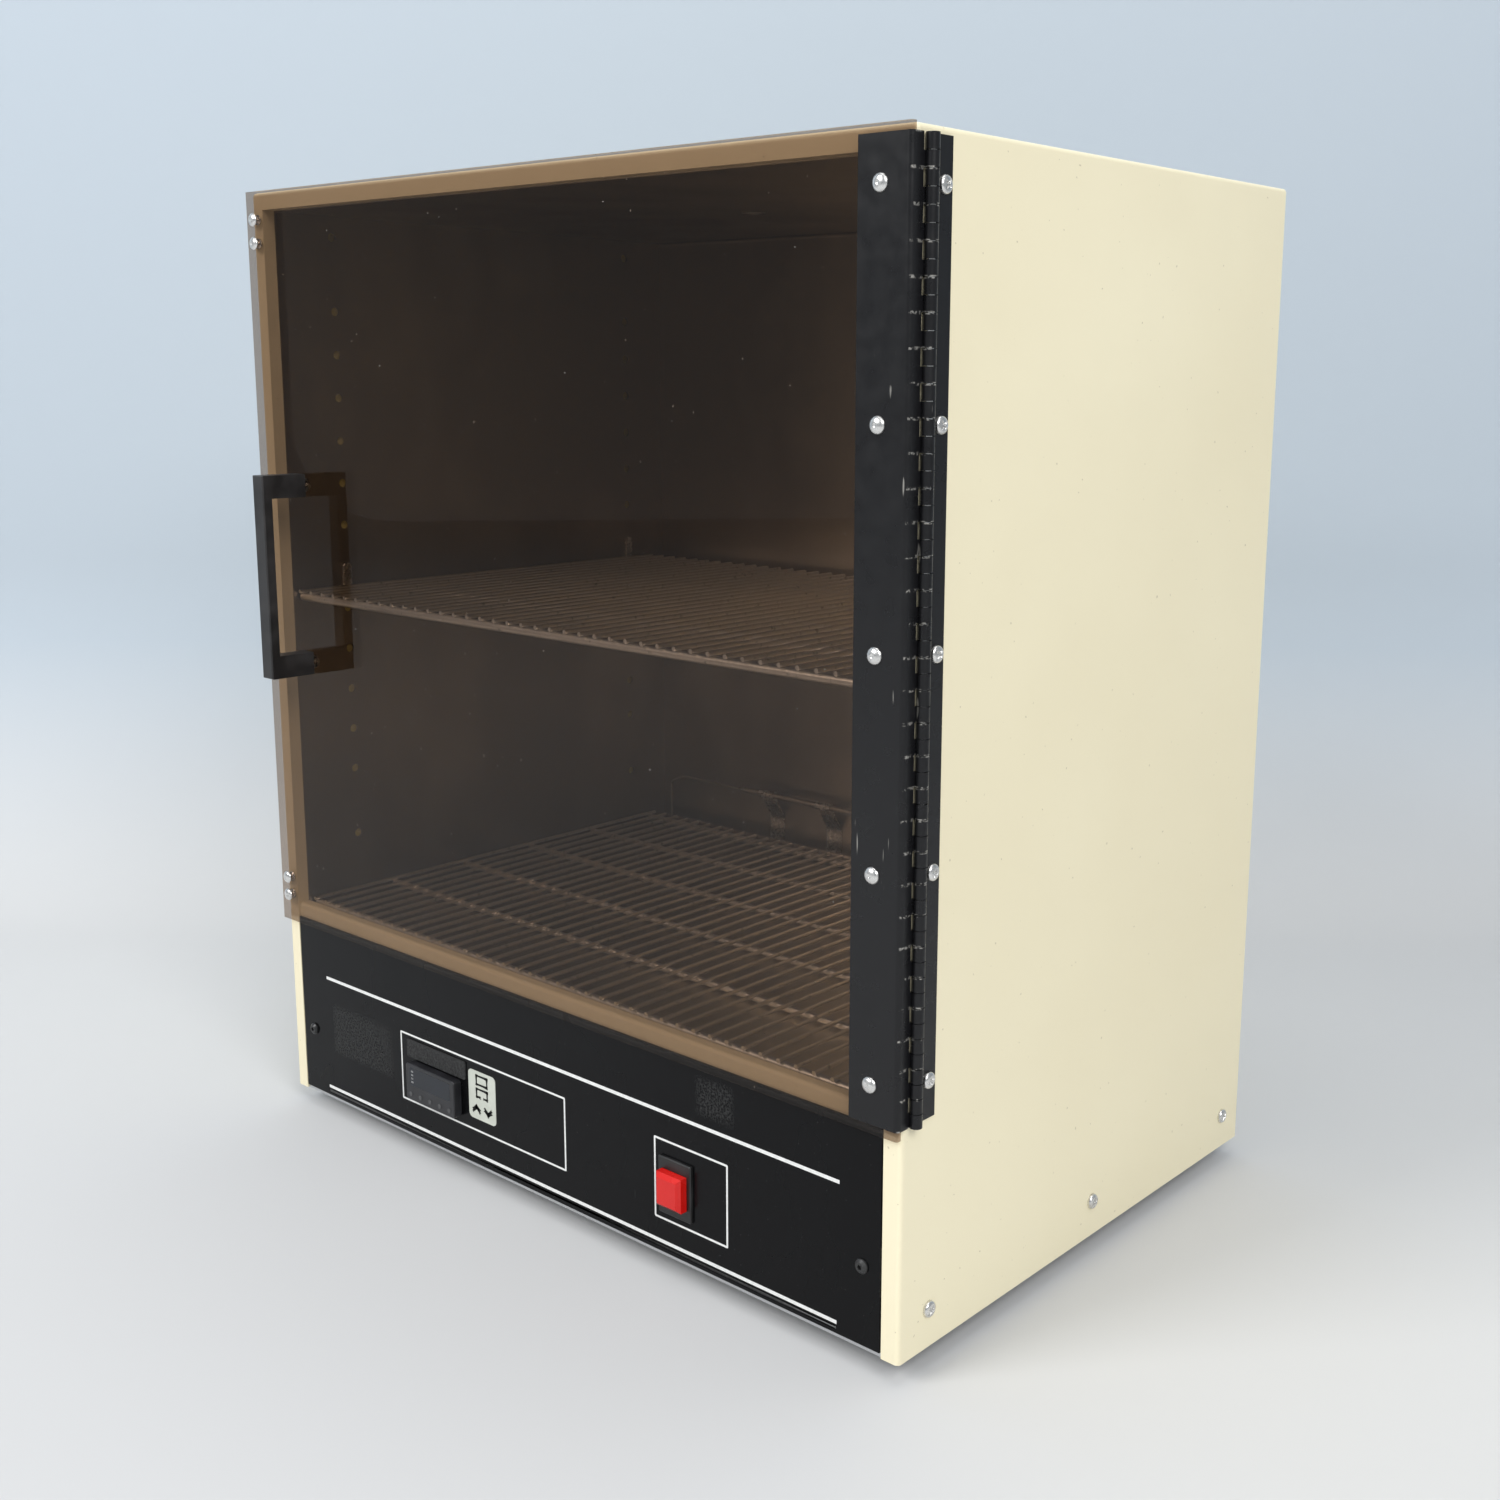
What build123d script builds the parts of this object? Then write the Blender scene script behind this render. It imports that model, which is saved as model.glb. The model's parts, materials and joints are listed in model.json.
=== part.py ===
from build123d import *
import os

# Bench incubator for a laboratory, in millimetres.
# The origin lies on the bench under the middle of the whole object.
# +Z is up, the clear door faces -Y and its hinge is on the +X side.

os.makedirs("parts", exist_ok=True)

# Cabinet of bent sheet steel
cabinet_width = 520.0
cabinet_depth = 347.0
cabinet_height = 584.0
shell_sheet = 1.2
shell_bend = 2.6
side_flange = 11.0
top_flange = 10.5
lip_depth = 8.0
back_flange = 9.0
fit = 0.1
overcut = 1.0

# Rubber feet
foot_height = 12.0
foot_radius = 13.0
foot_taper = 2.0
foot_inset = 42.0
foot_recess_radius = 6.0
foot_recess_depth = 7.0

# Screws and rivets
screw_radius = 2.0
screw_head_radius = 4.3
screw_head_height = 2.6
screw_rim = 0.8
rivet_radius = 2.0
rivet_head_radius = 4.25
rivet_head_height = 2.3
rivet_rim = 0.3
rivet_tail_radius = 3.2
rivet_tail = 1.0
hole_play = 0.1

# Control bay below the chamber
panel_bottom = 2.5
panel_top = 120.9
panel_side_gap = 1.0
panel_screw_inset = 23.5
panel_screw_height = 45.2
panel_head_radius = 3.8
panel_head_height = 2.1
panel_head_chamfer = 1.2
socket_radius = 1.45
socket_depth = 1.5
tab_reach = 34.0
tab_height = 26.0
pan_side_height = 38.0
pan_front_height = 14.0
side_screw_height = 21.0
side_screw_front = 23.7
side_screw_rear = 20.7
deck_height = 100.0
deck_flange = 14.0

# Ledge between the panel and the chamber
ledge_recess = 1.5
ledge_height = 130.0
ledge_depth = 8.5
ledge_lap = 9.0
ledge_bend = 2.4

# Chamber liner
liner_sheet = 0.8
liner_bend = 3.0
liner_step = 0.5
rear_wall = 10.5
clip_hole_radius = 2.7
clip_hole_count = 12
first_clip_hole = 213.5
lowest_clip_hole = 168.5
last_clip_hole_drop = 70.2
highest_clip_hole_drop = 24.0
front_clip_depth = 48.4
rear_clip_inset = 36.2
insulation_board = 7.0
insulation_margin = 26.0
insulation_top_gap = 1.0
insulation_rear_gap = 4.0

# Wire shelves
wire_radius = 1.25
rod_radius = 2.0
rail_radius = 2.6
wire_count = 41
outer_wire_inset = 4.0
front_rail_depth = 14.0
rod_count = 6
shelf_rear_gap = 15.0
wire_overhang = 1.4
rod_overhang = 2.0
lower_wire_height = 131.5
rest_gap = 0.2
clip_width = 5.5
clip_sheet = 1.8
clip_reach = 7.5
clip_drop = 13.0
clip_top_rise = 2.4
tongue_width = 4.0
tongue_height = 3.0
hook_rise = 4.5
upper_clip_index = 5

# Clear door
door_gap = 1.0
pane_thickness = 3.0
pane_bottom = 118.8
pane_rise = 0.3

# Piano hinge
leaf_sheet = 1.2
leaf_bend = 1.5
knuckle_radius = 3.2
pin_radius = 1.85
pin_play = 0.05
hinge_gap = 0.2
hinge_setback = 6.4
hinge_bottom = 124.1
hinge_drop = 3.9
knuckle_count = 60
knuckle_gap = 0.4
door_leaf_width = 29.0
cabinet_leaf_edge = 24.0
hinge_fastener_first = 144.0
hinge_fastener_drop = 24.8
hinge_fastener_count = 5
door_rivet_inset = 16.0
leaf_screw_depth = 18.0

# Door pull
handle_left = 38.6
handle_width = 11.0
handle_bottom = 289.0
handle_height = 125.0
handle_reach = 29.5
handle_grip = 6.0
handle_arm = 14.0
handle_edge = 0.9

# Magnetic catches
striker_inset = 6.5
striker_drops = (16.4, 30.5)
low_striker_heights = (147.6, 135.7)
striker_tail = 0.7
striker_head_radius = 4.0
striker_head_height = 1.9
magnet_size = (7.0, 5.0, 24.0)

# Temperature controller
controller_left = 132.0
controller_bottom = 29.2
controller_width = 48.0
controller_height = 24.0
controller_proud = 6.0
controller_body = (44.4, 21.8, 92.0)
controller_corner = 2.2
bezel_step = 1.6
bezel_undercut = 0.5
bezel_round = 0.8
case_round = 1.0
window_width = 40.0
window_height = 11.5
window_drop = 2.2
window_sheet = 1.0
window_corner = 1.0
key_count = 5
key_pitch = 9.6
key_radius = 1.5
key_rise = 4.3
key_proud = 0.5
key_travel = 0.5
key_collar = 0.4
key_collar_height = 0.8

# Power switch
switch_left = 354.0
switch_bottom = 27.0
switch_width = 25.0
switch_height = 33.0
switch_proud = 2.0
switch_corner = 1.2
switch_chamfer = 0.6
switch_body = (22.0, 29.5, 32.0)
cap_width = 18.7
cap_height = 19.5
cap_proud = 8.3
cap_travel = 2.5
cap_play = 0.25
cap_chamfer = 2.2

# Temperature sensor on the rear wall
sensor_gap = 12.0
bulb_radius = 2.2
bulb_left = 110.0
bulb_length = 125.0
bulb_height = 164.8
bulb_end_flat = 0.3
capillary_radius = 0.8
capillary_left = 32.0
capillary_bends = (6.0, 14.0)
sensor_clip_lefts = (128.0, 184.5)
sensor_clip_width = 14.0
sensor_clip_sheet = 0.8
sensor_clip_foot = 14.0
sensor_clip_wrap = 225

# Vent in the ceiling
vent_bore = 7.5
vent_tube_wall = 0.8
vent_collar = 2.4
vent_collar_height = 1.0
vent_left = 247.0
vent_depth = 190.0

# Heater under the chamber floor
heater_radius = 3.25
heater_height = 113.0
heater_inset = 62.0
heater_front = 110.0
heater_rear = 230.0
heater_bend = 34.0
support_sheet = 1.5
support_insets = (130.0, 390.0)
support_margin = 14.0

# Parts in the control bay and at the rear
thermostat_size = (34.0, 40.0, 30.0)
thermostat_round = 2.0
relay_size = (45.0, 58.0, 28.0)
relay_left = 300.0
relay_depth = 200.0
relay_slot = 12.0
terminal_size = (90.0, 22.0, 18.0)
terminal_left = 70.0
terminal_depth = 150.0
terminal_ways = 6
terminal_way_gap = 2.0
gland_left = 64.0
gland_height = 40.0
gland_radius = 9.0
gland_bore = 4.0
gland_reach = 12.0
gland_hex = 5.0
gland_hex_radius = 12.0
gland_nut_radius = 11.0
gland_thread_radius = 7.0
gland_round = 2.0
louvre_rows = 3
louvre_columns = 9
louvre_width = 30.0
louvre_height = 3.0
louvre_pitch = (42.0, 11.0)
louvre_centre = 62.0

# Edges of the cabinet, so that the whole object is centred
hinge_reach = hinge_gap + 2 * knuckle_radius
door_reach = door_gap + pane_thickness + handle_reach
left = (screw_head_height - cabinet_width - hinge_reach) / 2
right = left + cabinet_width
front = (door_reach - cabinet_depth - gland_reach) / 2
back = front + cabinet_depth
base = foot_height
top = base + cabinet_height
middle = (left + right) / 2

# Inner faces of the chamber
chamber_left = left + side_flange + liner_step
chamber_right = right - side_flange - liner_step
chamber_back = back - rear_wall
chamber_top = top - top_flange - liner_step
shelf_drop = wire_radius + 2 * rail_radius + rest_gap
chamber_floor = base + lower_wire_height - shelf_drop
liner_front = front + lip_depth
ledge_back = front + ledge_recess + ledge_depth

# Door, hinge and fastener places
pane_top = cabinet_height + pane_rise
hinge_top = cabinet_height - hinge_drop
hinge_fastener_run = cabinet_height - hinge_fastener_drop - hinge_fastener_first
hinge_fastener_pitch = hinge_fastener_run / (hinge_fastener_count - 1)
striker_heights = [cabinet_height - drop for drop in striker_drops] + list(low_striker_heights)
clip_hole_run = cabinet_height - last_clip_hole_drop - first_clip_hole
clip_hole_pitch = clip_hole_run / (clip_hole_count - 1)
pane_front = front - door_gap - pane_thickness
pane_back = front - door_gap
pane_right = right + hinge_gap
hinge_x = right + hinge_gap + knuckle_radius
hinge_y = front + hinge_setback
bore_radius = pin_radius + pin_play
leaf_clear = knuckle_radius + knuckle_gap
knuckle_pitch = (hinge_top - hinge_bottom) / knuckle_count
fastener_heights = [
    base + hinge_fastener_first + hinge_fastener_pitch * i for i in range(hinge_fastener_count)
]
clip_hole_heights = [base + first_clip_hole + clip_hole_pitch * i for i in range(clip_hole_count)]
clip_hole_heights += [base + lowest_clip_hole, top - highest_clip_hole_drop]
clip_depths = (front + front_clip_depth, chamber_back - rear_clip_inset)
side_screw_middle = (front + side_screw_front + back - side_screw_rear) / 2
side_depths = [front + side_screw_front, side_screw_middle, back - side_screw_rear]


def facing_front(y):
    """Plane at depth y whose normal points to the front; local x and y are X and Z."""
    return Plane.XZ.offset(-y)


def facing_right(x):
    """Plane at x whose normal points to +X; local x and y are Y and Z."""
    return Plane.YZ.offset(x)


def save(piece, name):
    """Label a finished piece with its name and write it to its own file."""
    piece.part.label = name
    export_step(piece.part, f"parts/{name}.step")


# Outer shell: sides and top in one bent sheet, with front flanges and lips
vent_x = left + vent_left
vent_y = front + vent_depth
vent_outer = vent_bore + vent_tube_wall
tab_holes = [(left + panel_screw_inset, base + panel_screw_height)]
tab_holes += [(right - panel_screw_inset, base + panel_screw_height)]

with BuildPart() as shell:
    with BuildSketch(Plane.XY.offset(base)):
        with Locations((middle, (front + back) / 2)):
            Rectangle(cabinet_width, cabinet_depth)
    extrude(amount=cabinet_height)
    front_edges = shell.faces().sort_by(Axis.Y)[0].edges().sort_by(Axis.Z)[1:]
    top_sides = shell.faces().sort_by(Axis.Z)[-1].edges().filter_by(Axis.Y)
    fillet(front_edges + top_sides, shell_bend)
    open_faces = [shell.faces().sort_by(Axis.Z)[0], shell.faces().sort_by(Axis.Y)[-1]]
    offset(amount=-shell_sheet, openings=open_faces)
    with BuildSketch(facing_front(front)):
        with Locations((middle, base - overcut)):
            Rectangle(
                cabinet_width - 2 * side_flange,
                cabinet_height - top_flange + overcut,
                align=(Align.CENTER, Align.MIN),
            )
    extrude(amount=-shell_sheet, mode=Mode.SUBTRACT)
    lip_bottom = base + panel_top - ledge_lap
    with BuildSketch(facing_front(front)):
        with Locations((middle, lip_bottom)):
            Rectangle(
                cabinet_width - 2 * side_flange + 2 * shell_sheet,
                top - top_flange + shell_sheet - lip_bottom,
                align=(Align.CENTER, Align.MIN),
            )
            Rectangle(
                cabinet_width - 2 * side_flange,
                top - top_flange - lip_bottom,
                align=(Align.CENTER, Align.MIN),
                mode=Mode.SUBTRACT,
            )
    extrude(amount=-lip_depth)
    with BuildSketch(facing_right(right)):
        with Locations(*[(front + leaf_screw_depth, z) for z in fastener_heights]):
            Circle(screw_radius + hole_play)
    extrude(amount=-2 * shell_sheet, mode=Mode.SUBTRACT)
    with BuildSketch(facing_right(left - overcut)):
        with Locations(*[(y, base + side_screw_height) for y in side_depths]):
            Circle(screw_radius + hole_play)
    extrude(amount=cabinet_width + 2 * overcut, mode=Mode.SUBTRACT)
    with BuildSketch(Plane.XY.offset(top)):
        with Locations((vent_x, vent_y)):
            Circle(vent_outer + fit)
    extrude(amount=-2 * shell_sheet, mode=Mode.SUBTRACT)
save(shell, "cabinet_shell")

# Panel tabs: two plates welded behind the front flanges, drilled for the panel's screws
tab_width = tab_reach - shell_bend
with BuildPart() as tabs:
    with BuildSketch(facing_front(front + shell_sheet)):
        with Locations((left + shell_bend, base + panel_screw_height)):
            Rectangle(tab_width, tab_height, align=(Align.MIN, Align.CENTER))
        with Locations((right - shell_bend, base + panel_screw_height)):
            Rectangle(tab_width, tab_height, align=(Align.MAX, Align.CENTER))
        with Locations(*tab_holes):
            Circle(screw_radius + pin_play, mode=Mode.SUBTRACT)
    extrude(amount=-shell_sheet)
save(tabs, "panel_tabs")

# Base pan: floor of the control bay, turned up at both sides and behind the panel
inner_left = left + shell_sheet
inner_right = right - shell_sheet
pan_front = front + shell_sheet
with BuildPart() as pan:
    with BuildSketch(Plane.XY.offset(base)):
        with Locations((middle, pan_front)):
            Rectangle(
                inner_right - inner_left, back - pan_front, align=(Align.CENTER, Align.MIN)
            )
        with Locations(
            (left + foot_inset, front + foot_inset),
            (right - foot_inset, front + foot_inset),
            (left + foot_inset, back - foot_inset),
            (right - foot_inset, back - foot_inset),
        ):
            Circle(screw_radius + hole_play, mode=Mode.SUBTRACT)
    extrude(amount=shell_sheet)
    with BuildSketch(Plane.XY.offset(base)):
        pan_side_length = back - back_flange - fit - (pan_front + shell_sheet)
        with Locations((inner_left, pan_front + shell_sheet)):
            Rectangle(shell_sheet, pan_side_length, align=(Align.MIN, Align.MIN))
        with Locations((inner_right, pan_front + shell_sheet)):
            Rectangle(shell_sheet, pan_side_length, align=(Align.MAX, Align.MIN))
    extrude(amount=pan_side_height)
    with BuildSketch(Plane.XY.offset(base)):
        with Locations((middle, pan_front)):
            Rectangle(inner_right - inner_left, shell_sheet, align=(Align.CENTER, Align.MIN))
    extrude(amount=pan_front_height)
    pan_corners = pan.edges().filter_by(Axis.Z).group_by(Axis.Y)[0]
    fillet(pan_corners, shell_bend - shell_sheet)
    with BuildSketch(facing_right(left - overcut)):
        with Locations(*[(y, base + side_screw_height) for y in side_depths]):
            Circle(screw_radius + pin_play)
    extrude(amount=cabinet_width + 2 * overcut, mode=Mode.SUBTRACT)
save(pan, "base_pan")

# Back panel: a shallow tray inside the shell, with vent slots and the cord hole
with BuildPart() as rear:
    with BuildSketch(facing_front(back)):
        with Locations((middle, base + shell_sheet)):
            Rectangle(
                inner_right - inner_left,
                cabinet_height - 2 * shell_sheet,
                align=(Align.CENTER, Align.MIN),
            )
    extrude(amount=back_flange)
    upper_corners = rear.faces().sort_by(Axis.Z)[-1].edges().filter_by(Axis.Y)
    fillet(upper_corners, shell_bend - shell_sheet)
    offset(amount=-shell_sheet, openings=rear.faces().sort_by(Axis.Y)[0])
    with BuildSketch(facing_front(back)):
        with Locations((middle, base + louvre_centre)):
            with GridLocations(louvre_pitch[0], louvre_pitch[1], louvre_columns, louvre_rows):
                SlotOverall(louvre_width, louvre_height)
        with Locations((left + gland_left, base + gland_height)):
            Circle(gland_thread_radius + fit)
    extrude(amount=shell_sheet, mode=Mode.SUBTRACT)
save(rear, "back_panel")

# Deck: ceiling of the control bay, which carries the heater
deck_top = base + deck_height
deck_front = front + shell_bend + fit
capillary_x = left + capillary_left
sensor_y = chamber_back - sensor_gap
heater_ends = [(left + heater_inset, front + heater_front), (left + heater_inset, front + heater_rear)]
with BuildPart() as deck:
    with BuildSketch(Plane.XY.offset(deck_top)):
        with Locations((middle, deck_front)):
            Rectangle(
                inner_right - inner_left,
                back - back_flange - fit - deck_front,
                align=(Align.CENTER, Align.MIN),
            )
        with Locations((capillary_x, sensor_y)):
            Circle(2 * capillary_radius, mode=Mode.SUBTRACT)
        with Locations(*heater_ends):
            Circle(heater_radius + hole_play, mode=Mode.SUBTRACT)
    extrude(amount=-shell_sheet)
    with BuildSketch(Plane.XY.offset(deck_top)):
        deck_length = back - back_flange - fit - deck_front
        with Locations((inner_left, deck_front)):
            Rectangle(shell_sheet, deck_length, align=(Align.MIN, Align.MIN))
        with Locations((inner_right, deck_front)):
            Rectangle(shell_sheet, deck_length, align=(Align.MAX, Align.MIN))
    extrude(amount=-deck_flange)
save(deck, "bay_deck")

# Ledge: folded strip with a rounded top edge, closing the gap under the chamber
with BuildPart() as ledge:
    with BuildSketch(facing_right(left + side_flange)):
        ledge_front = front + ledge_recess
        ledge_top = base + ledge_height
        floor_under = chamber_floor - liner_sheet
        with Locations((ledge_front, ledge_top)):
            Rectangle(ledge_depth, ledge_top - lip_bottom, align=(Align.MIN, Align.MAX))
        upper = ledge_front + shell_sheet
        with Locations((upper, ledge_top - shell_sheet)):
            Rectangle(
                ledge_depth - 2 * shell_sheet,
                ledge_top - lip_bottom,
                align=(Align.MIN, Align.MAX),
                mode=Mode.SUBTRACT,
            )
        with Locations((upper, floor_under)):
            Rectangle(
                ledge_depth,
                floor_under - lip_bottom,
                align=(Align.MIN, Align.MAX),
                mode=Mode.SUBTRACT,
            )
    extrude(amount=cabinet_width - 2 * side_flange)
    round_edge = ledge.faces().sort_by(Axis.Z)[-1].edges().filter_by(Axis.X)
    fillet(round_edge, ledge_bend)
save(ledge, "front_ledge")

# Liner: floor, back and ceiling in one bent sheet between two side walls
liner_back = chamber_back + liner_sheet
liner_top = chamber_top + liner_sheet
liner_floor_under = chamber_floor - liner_sheet
with BuildPart() as liner:
    with BuildSketch(facing_right(chamber_left)):
        with Locations((liner_back, liner_floor_under)):
            Rectangle(
                liner_back - liner_front,
                liner_top - liner_floor_under,
                align=(Align.MAX, Align.MIN),
            )
    extrude(amount=chamber_right - chamber_left)
    fillet(liner.faces().sort_by(Axis.Y)[-1].edges().filter_by(Axis.X), liner_bend + liner_sheet)
    liner_mouths = [
        liner.faces().sort_by(Axis.Y)[0],
        liner.faces().sort_by(Axis.X)[0],
        liner.faces().sort_by(Axis.X)[-1],
    ]
    offset(amount=-liner_sheet, openings=liner_mouths)
    with BuildSketch(Plane.XY.offset(liner_floor_under)):
        with Locations((middle, liner_front)):
            Rectangle(
                cabinet_width, ledge_back - liner_front, align=(Align.CENTER, Align.MIN)
            )
        with Locations((capillary_x, sensor_y)):
            Circle(2 * capillary_radius)
    extrude(amount=liner_sheet, mode=Mode.SUBTRACT)
    with BuildSketch(Plane.XY.offset(liner_top)):
        with Locations((vent_x, vent_y)):
            Circle(vent_outer + fit)
    extrude(amount=-liner_sheet, mode=Mode.SUBTRACT)
save(liner, "chamber_liner")

for side_name, wall_x in (("left", chamber_left), ("right", chamber_right + liner_sheet)):
    with BuildPart() as side_wall:
        with BuildSketch(facing_right(wall_x)):
            with Locations((liner_back, liner_floor_under)):
                Rectangle(
                    liner_back - liner_front,
                    liner_top - liner_floor_under,
                    align=(Align.MAX, Align.MIN),
                )
            with Locations(*[(y, z) for y in clip_depths for z in clip_hole_heights]):
                Circle(clip_hole_radius, mode=Mode.SUBTRACT)
            with Locations((liner_front, liner_floor_under)):
                Rectangle(
                    2 * (ledge_back - liner_front),
                    2 * (base + ledge_height - liner_floor_under),
                    mode=Mode.SUBTRACT,
                )
        extrude(amount=-liner_sheet)
    save(side_wall, f"liner_{side_name}_wall")

# Insulation boards between the liner and the shell
board_bottom = deck_top + insulation_margin
board_top = chamber_top - insulation_top_gap
board_front = front + insulation_margin
board_back = liner_back - insulation_rear_gap
for side_name, board_x in (("left", inner_left), ("right", inner_right - insulation_board)):
    with BuildPart() as board:
        with BuildSketch(facing_right(board_x)):
            with Locations((board_front, board_bottom)):
                Rectangle(
                    board_back - board_front, board_top - board_bottom, align=(Align.MIN, Align.MIN)
                )
        extrude(amount=insulation_board)
    save(board, f"insulation_{side_name}")

with BuildPart() as rear_board:
    with BuildSketch(facing_front(back - shell_sheet)):
        with Locations((middle, board_bottom)):
            Rectangle(
                chamber_right - chamber_left,
                board_top - board_bottom,
                align=(Align.CENTER, Align.MIN),
            )
    extrude(amount=insulation_board)
save(rear_board, "insulation_rear")

with BuildPart() as top_board:
    with BuildSketch(Plane.XY.offset(top - shell_sheet)):
        with Locations((middle, board_front)):
            Rectangle(
                chamber_right - chamber_left,
                board_back - board_front,
                align=(Align.CENTER, Align.MIN),
            )
        with Locations((vent_x, vent_y)):
            Circle(vent_outer + insulation_top_gap, mode=Mode.SUBTRACT)
    extrude(amount=-insulation_board)
save(top_board, "insulation_top")

# Vent tube through the ceiling, hung by its collar on the top
with BuildPart() as vent:
    with BuildSketch(Plane.XY.offset(chamber_top)):
        with Locations((vent_x, vent_y)):
            Circle(vent_outer)
    extrude(amount=top + vent_collar_height - chamber_top)
    with BuildSketch(Plane.XY.offset(top)):
        with Locations((vent_x, vent_y)):
            Circle(vent_outer + vent_collar)
    extrude(amount=vent_collar_height)
    with BuildSketch(Plane.XY.offset(chamber_top)):
        with Locations((vent_x, vent_y)):
            Circle(vent_bore)
    extrude(amount=top + vent_collar_height - chamber_top, mode=Mode.SUBTRACT)
save(vent, "vent_tube")

# Heater: one hairpin tube on two notched supports, its ends turned down through the deck
heater_x_left = left + heater_inset
heater_x_right = right - heater_inset
heater_y_front = front + heater_front
heater_y_rear = front + heater_rear
heater_z = base + heater_height
heater_tail = deck_top - 2 * heater_radius
with BuildPart() as heater:
    with BuildLine() as heater_path:
        FilletPolyline(
            (heater_x_left, heater_y_front, heater_tail),
            (heater_x_left, heater_y_front, heater_z),
            (heater_x_right, heater_y_front, heater_z),
            (heater_x_right, heater_y_rear, heater_z),
            (heater_x_left, heater_y_rear, heater_z),
            (heater_x_left, heater_y_rear, heater_tail),
            radius=[2 * heater_radius, heater_bend, heater_bend, 2 * heater_radius],
        )
    with BuildSketch(Plane(heater_path.line @ 0, z_dir=heater_path.line % 0)):
        Circle(heater_radius)
    sweep()
save(heater, "heater_element")

for index, inset in enumerate(support_insets):
    with BuildPart() as support:
        with BuildSketch(facing_right(left + inset)):
            with Locations((heater_y_front - support_margin, deck_top)):
                Rectangle(
                    heater_y_rear - heater_y_front + 2 * support_margin,
                    heater_z - deck_top,
                    align=(Align.MIN, Align.MIN),
                )
            with Locations((heater_y_front, heater_z), (heater_y_rear, heater_z)):
                Circle(heater_radius + fit, mode=Mode.SUBTRACT)
        extrude(amount=support_sheet)
        with BuildSketch(Plane.XY.offset(deck_top)):
            with Locations((left + inset, heater_y_front - support_margin)):
                Rectangle(
                    support_margin,
                    heater_y_rear - heater_y_front + 2 * support_margin,
                    align=(Align.MIN, Align.MIN),
                )
        extrude(amount=support_sheet)
    save(support, f"heater_support_{index + 1}")

# Thermostat, relay and terminal block in the control bay
with BuildPart() as thermostat:
    thermostat_top = deck_top - shell_sheet
    with BuildSketch(Plane.XY.offset(thermostat_top)):
        with Locations((capillary_x, sensor_y)):
            Rectangle(
                thermostat_size[0],
                thermostat_size[1],
                align=(Align.CENTER, Align.CENTER),
            )
    extrude(amount=-thermostat_size[2])
    fillet(thermostat.edges().filter_by(Axis.Z), thermostat_round)
save(thermostat, "thermostat_body")

pan_top = base + shell_sheet
with BuildPart() as relay:
    with BuildSketch(Plane.XY.offset(pan_top)):
        with Locations((left + relay_left, front + relay_depth)):
            Rectangle(relay_size[0], relay_size[1])
    extrude(amount=relay_size[2])
    with BuildSketch(Plane.XY.offset(pan_top + relay_size[2])):
        with Locations((left + relay_left, front + relay_depth)):
            with GridLocations(0, relay_size[1] - relay_slot, 1, 2):
                Rectangle(relay_size[0] - relay_slot / 2, relay_slot / 2)
    extrude(amount=-relay_size[2] / 3, mode=Mode.SUBTRACT)
save(relay, "solid_state_relay")

with BuildPart() as terminals:
    with BuildSketch(Plane.XY.offset(pan_top)):
        with Locations((left + terminal_left, front + terminal_depth)):
            Rectangle(terminal_size[0], terminal_size[1])
    extrude(amount=terminal_size[2] / 2)
    with BuildSketch(Plane.XY.offset(pan_top)):
        way_pitch = terminal_size[0] / terminal_ways
        with Locations((left + terminal_left, front + terminal_depth)):
            with GridLocations(way_pitch, 0, terminal_ways, 1):
                Rectangle(way_pitch - terminal_way_gap, terminal_size[1] / 2)
    extrude(amount=terminal_size[2])
save(terminals, "terminal_block")

# Cord gland at the rear
with BuildPart() as gland:
    with BuildSketch(facing_front(back + gland_hex)):
        with Locations((left + gland_left, base + gland_height)):
            RegularPolygon(gland_hex_radius, 6)
    extrude(amount=gland_hex)
    with BuildSketch(facing_front(back + gland_reach)):
        with Locations((left + gland_left, base + gland_height)):
            Circle(gland_radius)
    extrude(amount=gland_reach - gland_hex)
    fillet(gland.faces().sort_by(Axis.Y)[-1].edges(), gland_round)
    with BuildSketch(facing_front(back)):
        with Locations((left + gland_left, base + gland_height)):
            Circle(gland_thread_radius)
    extrude(amount=gland_reach)
    with BuildSketch(facing_front(back - shell_sheet)):
        with Locations((left + gland_left, base + gland_height)):
            RegularPolygon(gland_nut_radius, 6)
    extrude(amount=gland_hex)
    with BuildSketch(facing_front(back + gland_reach)):
        with Locations((left + gland_left, base + gland_height)):
            Circle(gland_bore)
    extrude(amount=2 * gland_reach, mode=Mode.SUBTRACT)
save(gland, "cord_gland")

# Control panel: flush plate between the side flanges
panel_left = left + side_flange + panel_side_gap
panel_right = right - side_flange - panel_side_gap
controller_x = left + controller_left + controller_width / 2
controller_z = base + controller_bottom + controller_height / 2
switch_x = left + switch_left + switch_width / 2
switch_z = base + switch_bottom + switch_height / 2
with BuildPart() as panel:
    with BuildSketch(facing_front(front)):
        with Locations((middle, base + panel_bottom)):
            Rectangle(
                panel_right - panel_left, panel_top - panel_bottom, align=(Align.CENTER, Align.MIN)
            )
        with Locations(*tab_holes):
            Circle(screw_radius + hole_play, mode=Mode.SUBTRACT)
        with Locations((controller_x, controller_z)):
            Rectangle(
                controller_body[0] + 2 * fit, controller_body[1] + 2 * fit, mode=Mode.SUBTRACT
            )
        with Locations((switch_x, switch_z)):
            Rectangle(switch_body[0] + 2 * fit, switch_body[1] + 2 * fit, mode=Mode.SUBTRACT)
    extrude(amount=-shell_sheet)
save(panel, "control_panel")

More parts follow.
